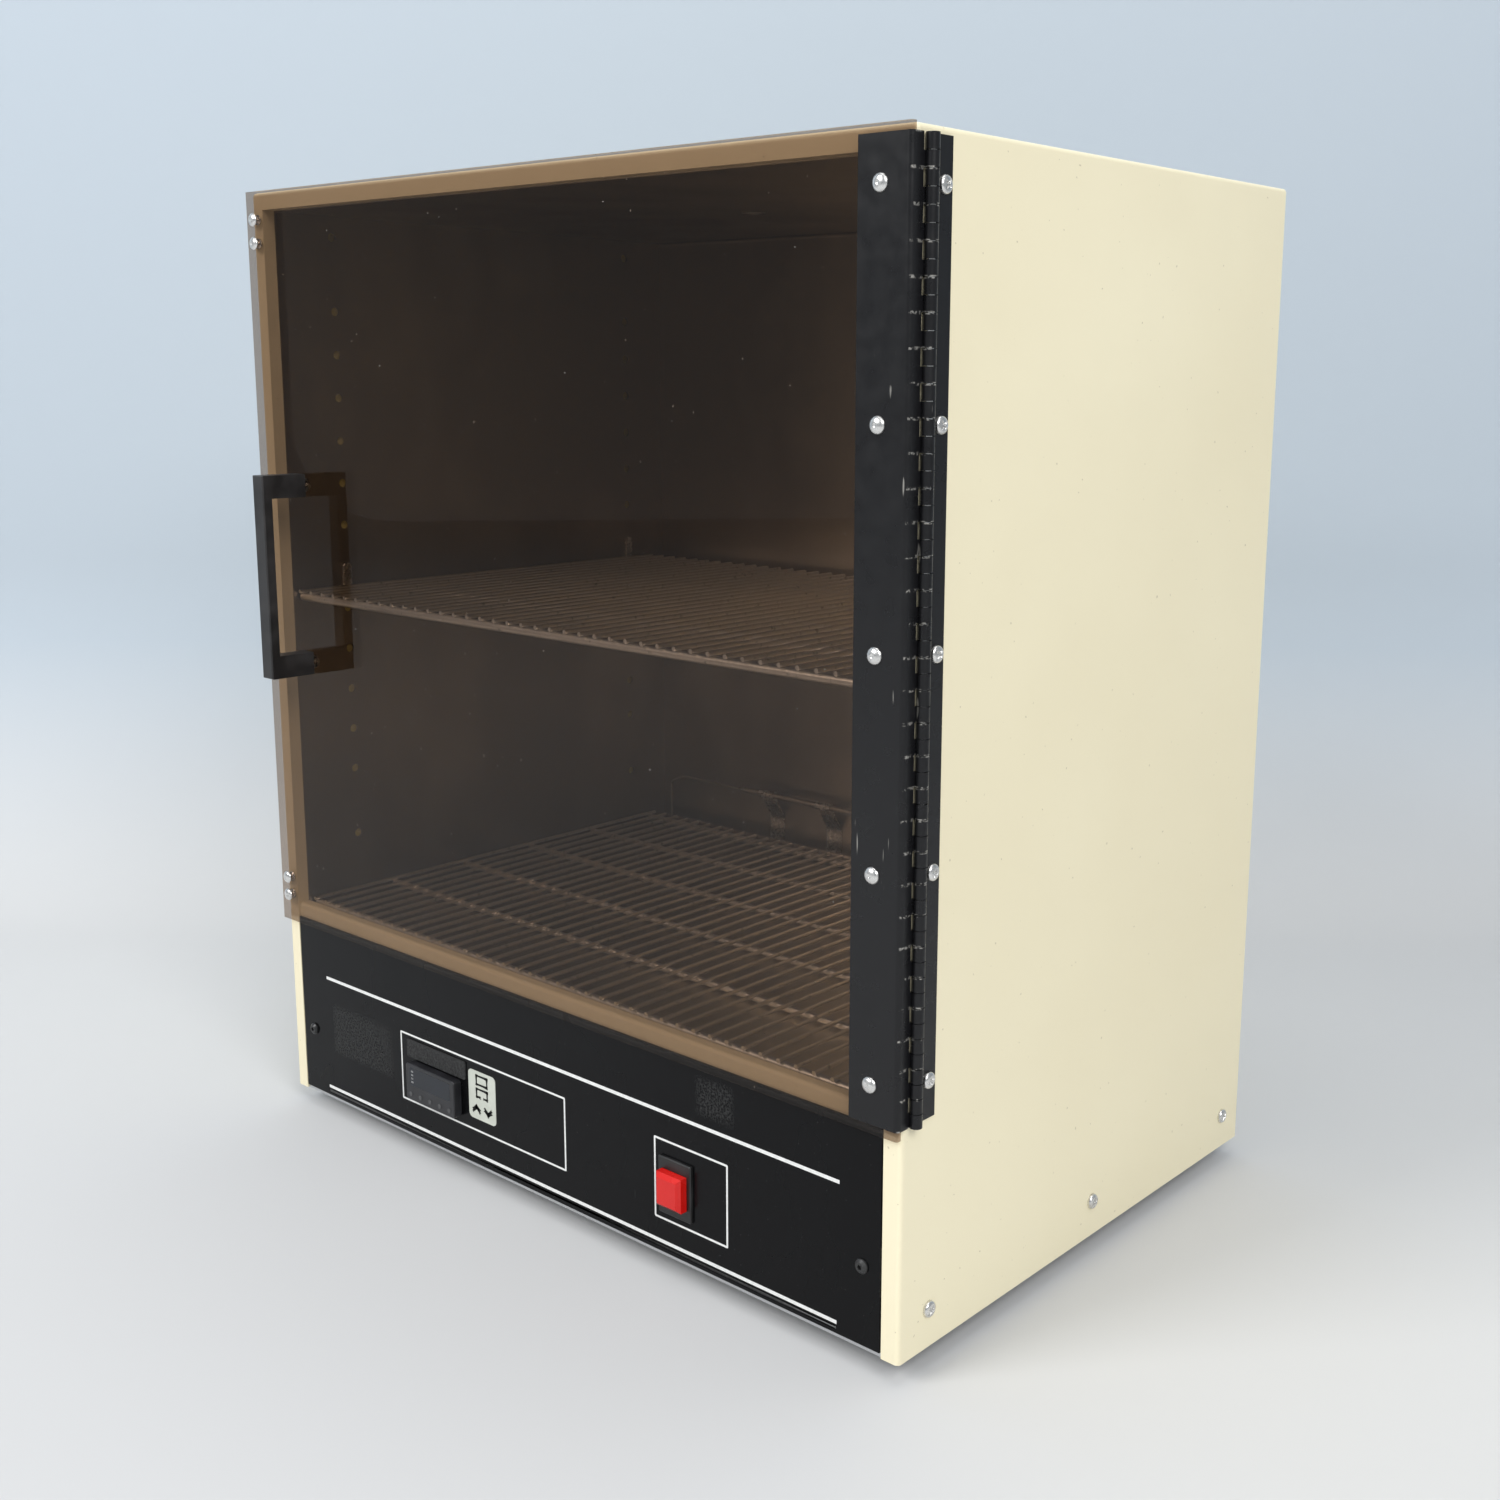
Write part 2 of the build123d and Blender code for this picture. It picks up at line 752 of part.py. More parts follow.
# Two button-head screws with a hexagon socket hold the panel
with BuildPart() as panel_screws:
    for x, z in tab_holes:
        with BuildSketch(facing_front(front)):
            with Locations((x, z)):
                Circle(panel_head_radius)
        extrude(amount=panel_head_height)
        with BuildSketch(facing_front(front)):
            with Locations((x, z)):
                Circle(screw_radius)
        extrude(amount=-4 * shell_sheet)
    rims = panel_screws.faces().filter_by(Axis.Y).sort_by(Axis.Y)[:2].edges()
    chamfer(rims, panel_head_chamfer)
    for x, z in tab_holes:
        with BuildSketch(facing_front(front - panel_head_height)):
            with Locations((x, z)):
                RegularPolygon(socket_radius, 6)
        extrude(amount=-socket_depth, mode=Mode.SUBTRACT)
save(panel_screws, "panel_screws")

# Controller: bezel with a display window and a row of keys, and its case behind the panel
bezel_front = front - controller_proud
window_z = controller_z + controller_height / 2 - window_drop - window_height / 2
key_z = base + controller_bottom + key_rise
key_xs = [controller_x + key_pitch * (i - (key_count - 1) / 2) for i in range(key_count)]
collar_back = bezel_front + controller_proud - key_travel - bezel_step / 4
collar_front = collar_back - key_collar_height
with BuildPart() as bezel:
    with BuildSketch(facing_front(front)):
        with Locations((controller_x, controller_z)):
            RectangleRounded(controller_width, controller_height, controller_corner)
    extrude(amount=controller_proud)
    fillet(bezel.faces().sort_by(Axis.Y)[0].edges(), bezel_round)
    with BuildSketch(facing_front(front)):
        with Locations((controller_x, controller_z)):
            Rectangle(controller_width + 2 * overcut, controller_height + 2 * overcut)
            RectangleRounded(
                controller_width - 2 * bezel_undercut,
                controller_height - 2 * bezel_undercut,
                controller_corner,
                mode=Mode.SUBTRACT,
            )
    extrude(amount=bezel_step, mode=Mode.SUBTRACT)
    with BuildSketch(facing_front(bezel_front)):
        with Locations((controller_x, window_z)):
            RectangleRounded(window_width + 2 * fit, window_height + 2 * fit, window_corner)
    extrude(amount=-window_sheet, mode=Mode.SUBTRACT)
    with BuildSketch(facing_front(bezel_front)):
        with Locations(*[(x, key_z) for x in key_xs]):
            Circle(key_radius + hole_play)
    extrude(amount=-controller_proud, mode=Mode.SUBTRACT)
    with BuildSketch(facing_front(collar_front)):
        with Locations(*[(x, key_z) for x in key_xs]):
            Circle(key_radius + key_collar + hole_play)
    extrude(amount=-controller_proud, mode=Mode.SUBTRACT)
save(bezel, "controller_bezel")

with BuildPart() as window:
    with BuildSketch(facing_front(bezel_front + window_sheet)):
        with Locations((controller_x, window_z)):
            RectangleRounded(window_width, window_height, window_corner)
    extrude(amount=window_sheet)
save(window, "controller_window")

with BuildPart() as case:
    with BuildSketch(facing_front(front)):
        with Locations((controller_x, controller_z)):
            Rectangle(controller_body[0], controller_body[1])
    extrude(amount=-controller_body[2])
    fillet(case.faces().sort_by(Axis.Y)[-1].edges(), case_round)
save(case, "controller_case")

for index, x in enumerate(key_xs):
    with BuildPart() as key:
        with BuildSketch(facing_front(collar_back)):
            with Locations((x, key_z)):
                Circle(key_radius + key_collar)
        extrude(amount=key_collar_height)
        with BuildSketch(facing_front(collar_back)):
            with Locations((x, key_z)):
                Circle(key_radius)
        extrude(amount=collar_back - bezel_front + key_proud)
        chamfer(key.faces().sort_by(Axis.Y)[0].edges(), key_proud / 2)
    save(key, f"controller_key_{index + 1}")

# Power switch: framed housing and a chamfered push button
cap_front = front - cap_proud
cap_back = front + cap_travel
pocket_back = cap_back + cap_travel + fit
with BuildPart() as switch:
    with BuildSketch(facing_front(front)):
        with Locations((switch_x, switch_z)):
            RectangleRounded(switch_width, switch_height, switch_corner)
    extrude(amount=switch_proud)
    chamfer(switch.faces().sort_by(Axis.Y)[0].edges(), switch_chamfer)
    with BuildSketch(facing_front(front)):
        with Locations((switch_x, switch_z)):
            Rectangle(switch_body[0], switch_body[1])
    extrude(amount=-switch_body[2])
    with BuildSketch(facing_front(front - switch_proud)):
        with Locations((switch_x, switch_z)):
            Rectangle(cap_width + 2 * cap_play, cap_height + 2 * cap_play)
    extrude(amount=-(pocket_back - front + switch_proud), mode=Mode.SUBTRACT)
save(switch, "power_switch")

with BuildPart() as cap:
    with BuildSketch(facing_front(cap_back)):
        with Locations((switch_x, switch_z)):
            Rectangle(cap_width, cap_height)
    extrude(amount=cap_back - cap_front)
    chamfer(cap.faces().sort_by(Axis.Y)[0].edges(), cap_chamfer)
save(cap, "power_button")

# Door pane with the holes for its fittings
handle_x = left + handle_left + handle_width / 2
handle_low = base + handle_bottom + handle_arm / 2
handle_high = base + handle_bottom + handle_height - handle_arm / 2
striker_x = left + striker_inset
rivet_x = right - door_rivet_inset
with BuildPart() as pane:
    with BuildSketch(facing_front(pane_back)):
        with Locations((left, base + pane_bottom)):
            Rectangle(pane_right - left, pane_top - pane_bottom, align=(Align.MIN, Align.MIN))
        with Locations((handle_x, handle_low), (handle_x, handle_high)):
            Circle(screw_radius + hole_play, mode=Mode.SUBTRACT)
        with Locations(*[(rivet_x, z) for z in fastener_heights]):
            Circle(rivet_radius + hole_play, mode=Mode.SUBTRACT)
        with Locations(*[(striker_x, base + z) for z in striker_heights]):
            Circle(rivet_radius + hole_play, mode=Mode.SUBTRACT)
    extrude(amount=pane_thickness)
    hinge_edge = pane.edges().filter_by(Axis.Z).group_by(Axis.Y)[0].sort_by(Axis.X)[-1]
    fillet(hinge_edge, leaf_bend)
save(pane, "door_pane")

# D-shaped pull, screwed on from behind the pane
with BuildPart() as handle:
    with BuildSketch(facing_right(left + handle_left)):
        with Locations((pane_front, base + handle_bottom)):
            Rectangle(handle_reach, handle_height, align=(Align.MAX, Align.MIN))
        with Locations((pane_front, base + handle_bottom + handle_arm)):
            Rectangle(
                handle_reach - handle_grip,
                handle_height - 2 * handle_arm,
                align=(Align.MAX, Align.MIN),
                mode=Mode.SUBTRACT,
            )
    extrude(amount=handle_width)
    with BuildSketch(facing_front(pane_front)):
        with Locations((handle_x, handle_low), (handle_x, handle_high)):
            Circle(screw_radius + pin_play)
    extrude(amount=6 * screw_radius, mode=Mode.SUBTRACT)
    pull_face = handle.faces().sort_by(Axis.Y)[0]
    fillet(pull_face.edges(), handle_edge)
save(handle, "door_handle")

with BuildPart() as handle_screws:
    for z in (handle_low, handle_high):
        with BuildSketch(facing_front(pane_back + screw_head_height)):
            with Locations((handle_x, z)):
                Circle(screw_head_radius)
        extrude(amount=screw_head_height)
        with BuildSketch(facing_front(pane_back)):
            with Locations((handle_x, z)):
                Circle(screw_radius)
        extrude(amount=pane_thickness + 5 * screw_radius)
    heads = handle_screws.faces().filter_by(Axis.Y).sort_by(Axis.Y)[-2:].edges()
    chamfer(heads, screw_head_height / 2)
save(handle_screws, "handle_screws")

# Piano hinge: both leaves carry every second knuckle, curled round one long pin
door_leaf_inner = pane_right
door_leaf_outer = pane_right + leaf_sheet
leaf_front = pane_front - leaf_sheet
with BuildPart() as door_leaf:
    with BuildSketch(Plane.XY.offset(base + hinge_bottom)) as wrap:
        with Locations((door_leaf_outer, leaf_front)):
            Rectangle(
                door_leaf_width + leaf_sheet,
                hinge_y - leaf_clear - leaf_front,
                align=(Align.MAX, Align.MIN),
            )
        with Locations((door_leaf_inner, pane_front)):
            Rectangle(
                door_leaf_width, hinge_y - leaf_front, align=(Align.MAX, Align.MIN), mode=Mode.SUBTRACT
            )
        corners = wrap.vertices().sort_by(Axis.Y)
        outer_corner = corners.group_by(Axis.Y)[0].sort_by(Axis.X)[-1]
        inner_corner = corners.group_by(Axis.Y)[1].sort_by(Axis.X)[-1]
        fillet(outer_corner, leaf_bend + leaf_sheet)
        fillet(inner_corner, leaf_bend)
    extrude(amount=hinge_top - hinge_bottom)
    for index in range(0, knuckle_count, 2):
        knuckle_z = base + hinge_bottom + knuckle_pitch * index + knuckle_gap / 2
        with BuildSketch(Plane.XY.offset(knuckle_z)):
            with Locations((door_leaf_inner, hinge_y)):
                Rectangle(leaf_sheet, leaf_clear, align=(Align.MIN, Align.MAX))
            with Locations((hinge_x, hinge_y)):
                Circle(knuckle_radius)
                Circle(bore_radius, mode=Mode.SUBTRACT)
        extrude(amount=knuckle_pitch - knuckle_gap)
    with BuildSketch(facing_front(leaf_front)):
        with Locations(*[(rivet_x, z) for z in fastener_heights]):
            Circle(rivet_radius + hole_play)
    extrude(amount=-leaf_sheet, mode=Mode.SUBTRACT)
save(door_leaf, "hinge_door_leaf")

with BuildPart() as cabinet_leaf:
    with BuildSketch(Plane.XY.offset(base + hinge_bottom)):
        with Locations((right, hinge_y + leaf_clear)):
            Rectangle(
                leaf_sheet,
                front + cabinet_leaf_edge - hinge_y - leaf_clear,
                align=(Align.MIN, Align.MIN),
            )
    extrude(amount=hinge_top - hinge_bottom)
    for index in range(1, knuckle_count, 2):
        knuckle_z = base + hinge_bottom + knuckle_pitch * index + knuckle_gap / 2
        with BuildSketch(Plane.XY.offset(knuckle_z)):
            with Locations((right, hinge_y)):
                Rectangle(leaf_sheet, leaf_clear, align=(Align.MIN, Align.MIN))
            with Locations((hinge_x, hinge_y)):
                Circle(knuckle_radius)
                Circle(bore_radius, mode=Mode.SUBTRACT)
        extrude(amount=knuckle_pitch - knuckle_gap)
    with BuildSketch(facing_right(right + leaf_sheet)):
        with Locations(*[(front + leaf_screw_depth, z) for z in fastener_heights]):
            Circle(screw_radius + hole_play)
    extrude(amount=-leaf_sheet, mode=Mode.SUBTRACT)
save(cabinet_leaf, "hinge_cabinet_leaf")

with BuildPart() as pin:
    with BuildSketch(Plane.XY.offset(base + hinge_bottom)):
        with Locations((hinge_x, hinge_y)):
            Circle(pin_radius)
    extrude(amount=hinge_top - hinge_bottom)
save(pin, "hinge_pin")

# Domed rivets through the door leaf and the pane
with BuildPart() as rivets:
    for z in fastener_heights:
        with BuildSketch(facing_front(leaf_front)):
            with Locations((rivet_x, z)):
                Circle(rivet_head_radius)
        extrude(amount=rivet_head_height)
        with BuildSketch(facing_front(leaf_front)):
            with Locations((rivet_x, z)):
                Circle(rivet_radius)
        extrude(amount=-(leaf_sheet + pane_thickness))
        with BuildSketch(facing_front(pane_back)):
            with Locations((rivet_x, z)):
                Circle(rivet_tail_radius)
        extrude(amount=-rivet_tail)
    domes = rivets.faces().filter_by(Axis.Y).sort_by(Axis.Y)[:hinge_fastener_count].edges()
    fillet(domes, rivet_head_height - rivet_rim)
save(rivets, "hinge_rivets")

# Pan-head screws through the cabinet leaf and the shell
with BuildPart() as leaf_screws:
    for z in fastener_heights:
        with BuildSketch(facing_right(right + leaf_sheet)):
            with Locations((front + leaf_screw_depth, z)):
                Circle(screw_head_radius)
        extrude(amount=screw_head_height)
        with BuildSketch(facing_right(right + leaf_sheet)):
            with Locations((front + leaf_screw_depth, z)):
                Circle(screw_radius)
        extrude(amount=-3 * screw_radius)
    heads = leaf_screws.faces().filter_by(Axis.X).sort_by(Axis.X)[-hinge_fastener_count:].edges()
    fillet(heads, screw_head_height - screw_rim)
save(leaf_screws, "hinge_leaf_screws")

# Low side screws that hold the base pan in the shell
with BuildPart() as side_screws:
    for face_x, outward in ((left, -1), (right, 1)):
        for y in side_depths:
            with BuildSketch(facing_right(face_x)):
                with Locations((y, base + side_screw_height)):
                    Circle(screw_head_radius)
            extrude(amount=outward * screw_head_height)
            with BuildSketch(facing_right(face_x)):
                with Locations((y, base + side_screw_height)):
                    Circle(screw_radius)
            extrude(amount=-outward * 3 * screw_radius)
    screw_count = len(side_depths)
    head_faces = side_screws.faces().filter_by(Axis.X).sort_by(Axis.X)
    heads = (head_faces[:screw_count] + head_faces[-screw_count:]).edges()
    fillet(heads, screw_head_height - screw_rim)
save(side_screws, "side_screws")

# Rivets at the free edge of the door that strike the magnets
with BuildPart() as strikers:
    for height in striker_heights:
        with BuildSketch(facing_front(pane_front)):
            with Locations((striker_x, base + height)):
                Circle(striker_head_radius)
        extrude(amount=striker_head_height)
        with BuildSketch(facing_front(pane_front)):
            with Locations((striker_x, base + height)):
                Circle(rivet_radius)
        extrude(amount=-pane_thickness)
        with BuildSketch(facing_front(pane_back)):
            with Locations((striker_x, base + height)):
                Circle(rivet_tail_radius)
        extrude(amount=-striker_tail)
    domes = strikers.faces().filter_by(Axis.Y).sort_by(Axis.Y)[: len(striker_heights)].edges()
    fillet(domes, striker_head_height - rivet_rim)
save(strikers, "striker_rivets")

# Magnets behind the left flange, one for each pair of rivets
for name, pair in (("top", striker_heights[:2]), ("bottom", striker_heights[2:])):
    with BuildPart() as magnet:
        with BuildSketch(facing_front(front + shell_sheet)):
            with Locations((left + shell_bend + magnet_size[0] / 2, base + sum(pair) / 2)):
                Rectangle(magnet_size[0], magnet_size[2])
        extrude(amount=-magnet_size[1])
    save(magnet, f"magnet_{name}")

# Clips hooked in the wall holes, with a ledge under the outer wire of the shelf
hook_z = base + first_clip_hole + clip_hole_pitch * upper_clip_index
upper_wire_z = hook_z - clip_drop
ledge_z = upper_wire_z - wire_radius - rest_gap
for side_name, face_x, inward in (("left", chamber_left, 1), ("right", chamber_right, -1)):
    for depth_name, clip_y in zip(("front", "rear"), clip_depths):
        with BuildPart() as clip:
            stem_x = face_x + inward * clip_sheet / 2
            tongue_x = face_x - inward * (liner_sheet + clip_sheet + fit) / 2
            hook_x = face_x - inward * (liner_sheet + fit + clip_sheet / 2)
            with BuildSketch(facing_front(clip_y - clip_width / 2)):
                with Locations((stem_x, ledge_z - clip_sheet)):
                    Rectangle(
                        clip_sheet,
                        hook_z + clip_top_rise - ledge_z + clip_sheet,
                        align=(Align.CENTER, Align.MIN),
                    )
                with Locations((face_x + inward * clip_reach / 2, ledge_z)):
                    Rectangle(clip_reach, clip_sheet, align=(Align.CENTER, Align.MAX))
            extrude(amount=-clip_width)
            fillet(clip.faces().sort_by(Axis.Z)[-1].edges().filter_by(Axis.X), clip_width / 2 - fit)
            with BuildSketch(facing_front(clip_y - tongue_width / 2)):
                with Locations((tongue_x, hook_z)):
                    Rectangle(liner_sheet + clip_sheet + fit, tongue_height)
                with Locations((hook_x, hook_z - tongue_height / 2)):
                    Rectangle(
                        clip_sheet, tongue_height + hook_rise, align=(Align.CENTER, Align.MIN)
                    )
            extrude(amount=-tongue_width)
        save(clip, f"shelf_clip_{side_name}_{depth_name}")

# Wire shelves: long wires from front to back, resting on cross rods between two rails
first_wire_x = chamber_left + outer_wire_inset
wire_pitch = (chamber_right - chamber_left - 2 * outer_wire_inset) / (wire_count - 1)
front_rail_y = front + front_rail_depth
rear_rail_y = chamber_back - shelf_rear_gap - wire_overhang - rail_radius
rod_pitch = (rear_rail_y - front_rail_y) / (rod_count - 1)
rod_length = chamber_right - chamber_left - 2 * rod_overhang
wire_front = front_rail_y - rail_radius - wire_overhang
wire_length = rear_rail_y - front_rail_y + 2 * (rail_radius + wire_overhang)
for name, wire_z in (("lower", base + lower_wire_height), ("upper", upper_wire_z)):
    with BuildPart() as shelf:
        with BuildSketch(facing_front(wire_front)):
            with Locations(*[(first_wire_x + wire_pitch * i, wire_z) for i in range(wire_count)]):
                Circle(wire_radius)
        extrude(amount=-wire_length)
        for index in range(rod_count):
            is_rail = index in (0, rod_count - 1)
            radius = rail_radius if is_rail else rod_radius
            with BuildSketch(facing_right(middle - rod_length / 2), mode=Mode.PRIVATE) as bar:
                with Locations((front_rail_y + rod_pitch * index, wire_z - wire_radius - radius)):
                    Circle(radius)
            extrude(bar.sketch, amount=rod_length)
    save(shelf, f"{name}_shelf")

# Sensor: a bulb with its thin capillary, on two spring clips
bulb_z = base + bulb_height
bulb_x = left + bulb_left
with BuildPart() as sensor:
    with BuildSketch(facing_right(bulb_x)):
        with Locations((sensor_y, bulb_z)):
            Circle(bulb_radius)
    extrude(amount=bulb_length)
    fillet(sensor.faces().filter_by(Axis.X).edges(), bulb_radius - bulb_end_flat)
    with BuildLine() as capillary_path:
        FilletPolyline(
            (capillary_x, sensor_y, deck_top - shell_sheet),
            (capillary_x, sensor_y, bulb_z - capillary_bends[0]),
            (capillary_x + capillary_bends[1], sensor_y, bulb_z),
            (bulb_x + bulb_radius, sensor_y, bulb_z),
            radius=4 * capillary_radius,
        )
    with BuildSketch(Plane(capillary_path.line @ 0, z_dir=capillary_path.line % 0)):
        Circle(capillary_radius)
    sweep(path=capillary_path.line)
save(sensor, "sensor_bulb")

wrap_radius = bulb_radius + sensor_clip_sheet / 2 + fit / 2
foot_y = chamber_back - sensor_clip_sheet / 2
foot_z = chamber_floor + liner_bend
for index, clip_left in enumerate(sensor_clip_lefts):
    with BuildPart() as spring_clip:
        with BuildSketch(facing_right(left + clip_left)):
            with BuildLine():
                Line((foot_y, foot_z), (foot_y, foot_z + sensor_clip_foot))
                Spline(
                    (foot_y, foot_z + sensor_clip_foot),
                    (sensor_y + wrap_radius, bulb_z),
                    tangents=((0, 1), (0, 1)),
                )
                CenterArc((sensor_y, bulb_z), wrap_radius, 0, sensor_clip_wrap)
            trace(line_width=sensor_clip_sheet)
        extrude(amount=sensor_clip_width)
    save(spring_clip, f"sensor_clip_{index + 1}")

# Feet with a recessed screw
foot_places = (
    ("front_left", left + foot_inset, front + foot_inset),
    ("front_right", right - foot_inset, front + foot_inset),
    ("rear_left", left + foot_inset, back - foot_inset),
    ("rear_right", right - foot_inset, back - foot_inset),
)
for name, x, y in foot_places:
    with BuildPart() as foot:
        with BuildSketch(Plane.XY.offset(base)):
            with Locations((x, y)):
                Circle(foot_radius)
        with BuildSketch():
            with Locations((x, y)):
                Circle(foot_radius - foot_taper)
        loft()
        with BuildSketch():
            with Locations((x, y)):
                Circle(foot_recess_radius)
        extrude(amount=foot_recess_depth, mode=Mode.SUBTRACT)
        with BuildSketch():
            with Locations((x, y)):
                Circle(screw_radius + hole_play)
        extrude(amount=foot_height, mode=Mode.SUBTRACT)
    save(foot, f"foot_{name}")

with BuildPart() as foot_screws:
    for name, x, y in foot_places:
        with BuildSketch(Plane.XY.offset(foot_recess_depth - screw_head_height)):
            with Locations((x, y)):
                Circle(screw_head_radius)
        extrude(amount=screw_head_height)
        with BuildSketch(Plane.XY.offset(foot_recess_depth)):
            with Locations((x, y)):
                Circle(screw_radius)
        extrude(amount=foot_height - foot_recess_depth + 2 * shell_sheet)
save(foot_screws, "foot_screws")
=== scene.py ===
# %% [markdown]
# A bench incubator for a laboratory: a cream enamelled cabinet with a bronze
# clear door on a long piano hinge, two wire shelves and a black control panel.
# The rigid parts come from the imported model, which fixes every size. This file
# gives them their finishes, and adds what is too fine for the solids: the
# recessed screw heads, the domed rivets, the panel's print and the small signs
# of use.

# %% Load the frame
import json
import math

import bpy
import numpy as np
from mathutils import Matrix, Vector


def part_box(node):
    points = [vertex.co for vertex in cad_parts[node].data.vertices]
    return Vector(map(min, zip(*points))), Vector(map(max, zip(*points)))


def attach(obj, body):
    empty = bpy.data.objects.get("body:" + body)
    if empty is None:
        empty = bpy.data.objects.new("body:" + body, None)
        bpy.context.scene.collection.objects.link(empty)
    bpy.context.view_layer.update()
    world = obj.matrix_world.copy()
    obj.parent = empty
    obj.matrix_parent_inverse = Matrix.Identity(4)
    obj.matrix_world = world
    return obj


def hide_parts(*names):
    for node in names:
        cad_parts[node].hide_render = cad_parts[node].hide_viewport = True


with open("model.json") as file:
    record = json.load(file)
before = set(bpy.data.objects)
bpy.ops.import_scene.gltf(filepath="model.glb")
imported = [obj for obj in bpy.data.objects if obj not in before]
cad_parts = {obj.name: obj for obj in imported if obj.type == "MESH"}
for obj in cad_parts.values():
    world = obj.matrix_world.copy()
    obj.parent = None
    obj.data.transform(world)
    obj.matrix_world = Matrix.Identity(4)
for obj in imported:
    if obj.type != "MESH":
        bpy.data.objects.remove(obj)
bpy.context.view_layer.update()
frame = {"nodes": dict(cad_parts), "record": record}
nodes = frame["nodes"]

# %% [markdown]
# A designer measures this cabinet from its front left bottom corner: so far
# from the left side, so far behind the front and so far above the underside.
# The shell's own box gives that corner, so all places below are written in
# those millimetres and turned into metres in one spot.

# %% Places on the cabinet
shell_low, shell_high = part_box("cabinet_shell")
MM = 0.001


def spot(painted_light_ramp, behind, above):
    """The corner of the cabinet plus three distances in millimetres."""
    return np.array(shell_low) + MM * np.array([painted_light_ramp, behind, above])


print("cabinet corner", [round(v, 4) for v in shell_low])

# %% [markdown]
# A picture of a product is a projection, and the camera that took it can be
# worked out from the cabinet's straight edges. Its place, its two angles and
# its roll are written here. The lens is the focal length over the picture's
# width times the sensor width, and the small shift puts the optical axis where
# it was in the frame.

# %% Camera
PICTURE = 1500
eye = Vector((0.731023, -0.772265, 0.490976))
yaw, pitch, roll = -0.7056996, -0.188121403, 0.00746827804
focal = 1729.46776
optical_centre = (830.988489, 699.977586)
forward = Vector((math.sin(yaw) * math.cos(pitch), math.cos(yaw) * math.cos(pitch), math.sin(pitch)))
level_right = forward.cross(Vector((0, 0, 1))).normalized()
level_up = level_right.cross(forward)
camera_right = math.cos(roll) * level_right + math.sin(roll) * level_up
camera_up = -math.sin(roll) * level_right + math.cos(roll) * level_up

camera_data = bpy.data.cameras.new("product_camera")
camera_data.sensor_width = 36
camera_data.lens = focal / PICTURE * camera_data.sensor_width
camera_data.shift_x = (PICTURE / 2 - optical_centre[0]) / PICTURE
camera_data.shift_y = (optical_centre[1] - PICTURE / 2) / PICTURE
camera_data.clip_start = 0.02
camera = bpy.data.objects.new("product_camera", camera_data)
turn = Matrix((camera_right, camera_up, -forward)).transposed()
camera.matrix_world = Matrix.Translation(eye) @ turn.to_4x4()
bpy.context.scene.collection.objects.link(camera)
bpy.context.scene.camera = camera
shift = [round(value, 4) for value in (camera_data.shift_x, camera_data.shift_y)]
print("lens", round(camera_data.lens, 2), "shift", shift)

# %% [markdown]
# Every shape below is worked out as whole arrays of points. Two helpers put
# them to use: one makes the mesh and lets it ride on a body of the model, and
# one lays a shape that was drawn flat on the desk onto a face of the cabinet.

# %% From arrays to pieces


def add_piece(name, points, faces, body, finish, slot, smooth=True):
    """Make one closed mesh from an array of points and lists of point numbers."""
    mesh = bpy.data.meshes.new(name)
    mesh.from_pydata(np.asarray(points, float).tolist(), [], faces)
    mesh.polygons.foreach_set("use_smooth", np.full(len(mesh.polygons), smooth))
    mesh.materials.append(finish)
    mesh.update()
    piece = bpy.data.objects.new(name, mesh)
    bpy.context.scene.collection.objects.link(piece)
    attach(piece, body)
    print(name, len(mesh.polygons), "faces on", body)
    return piece


def on_front(points, place):
    """Lay drawn points on a face that looks to the front: drawn right is +X, up is +Z, out is -Y."""
    return place + np.stack([points[:, 0], -points[:, 2], points[:, 1]], axis=1)


def on_side(points, place, outward):
    """Lay drawn points on a side wall: out is outward times +X, up is +Z, right follows from the two."""
    return place + np.stack([outward * points[:, 2], outward * points[:, 0], points[:, 1]], axis=1)


def join_shapes(shapes):
    """Put several point and face lists into one, shifting the point numbers of each by those before it."""
    points = np.concatenate([shape[0] for shape in shapes])
    starts = np.cumsum([0] + [len(shape[0]) for shape in shapes[:-1]])
    faces = [[int(n + start) for n in face] for (_, some), start in zip(shapes, starts) for face in some]
    return points, faces


# %% [markdown]
# Screws, rivets and knobs are turned parts. Their surface is a profile swung
# round an axis: a point at distance r and height h becomes r cos a, r sin a, h
# for every angle a. The first and last point of the profile lie on the axis,
# so the shape is closed by two fans of triangles.

# %% Turned shapes


def turned(radii, heights, segments):
    """Swing a profile round the upright axis; its two ends lie on the axis and become poles."""
    angles = np.linspace(0, 2 * np.pi, segments, endpoint=False)
    rings = len(radii) - 2
    ring_points = np.stack(
        [
            np.outer(radii[1:-1], np.cos(angles)),
            np.outer(radii[1:-1], np.sin(angles)),
            np.repeat(heights[1:-1, None], segments, axis=1),
        ],
        axis=2,
    ).reshape(-1, 3)
    points = np.concatenate([[[0, 0, heights[0]]], ring_points, [[0, 0, heights[-1]]]])
    step = np.arange(segments)
    nxt = (step + 1) % segments
    first = 1 + np.arange(rings - 1)[:, None] * segments
    quads = np.stack([first + step, first + segments + step, first + segments + nxt, first + nxt], axis=2)
    top = np.stack([np.zeros(segments, int), 1 + step, 1 + nxt], axis=1)
    last = 1 + (rings - 1) * segments
    low = np.stack([np.full(segments, len(points) - 1), last + nxt, last + step], axis=1)
    return points, top.tolist() + quads.reshape(-1, 4).tolist() + low.tolist()


def dome_profile(radius, height, roundness, rings):
    """Height of a domed head at distance r: h times (1 minus (r over R) to the n) to the 1 over n."""
    share = np.sin(np.linspace(0, np.pi / 2, rings))
    return radius * share, height * (1 - share**roundness) ** (1 / roundness)


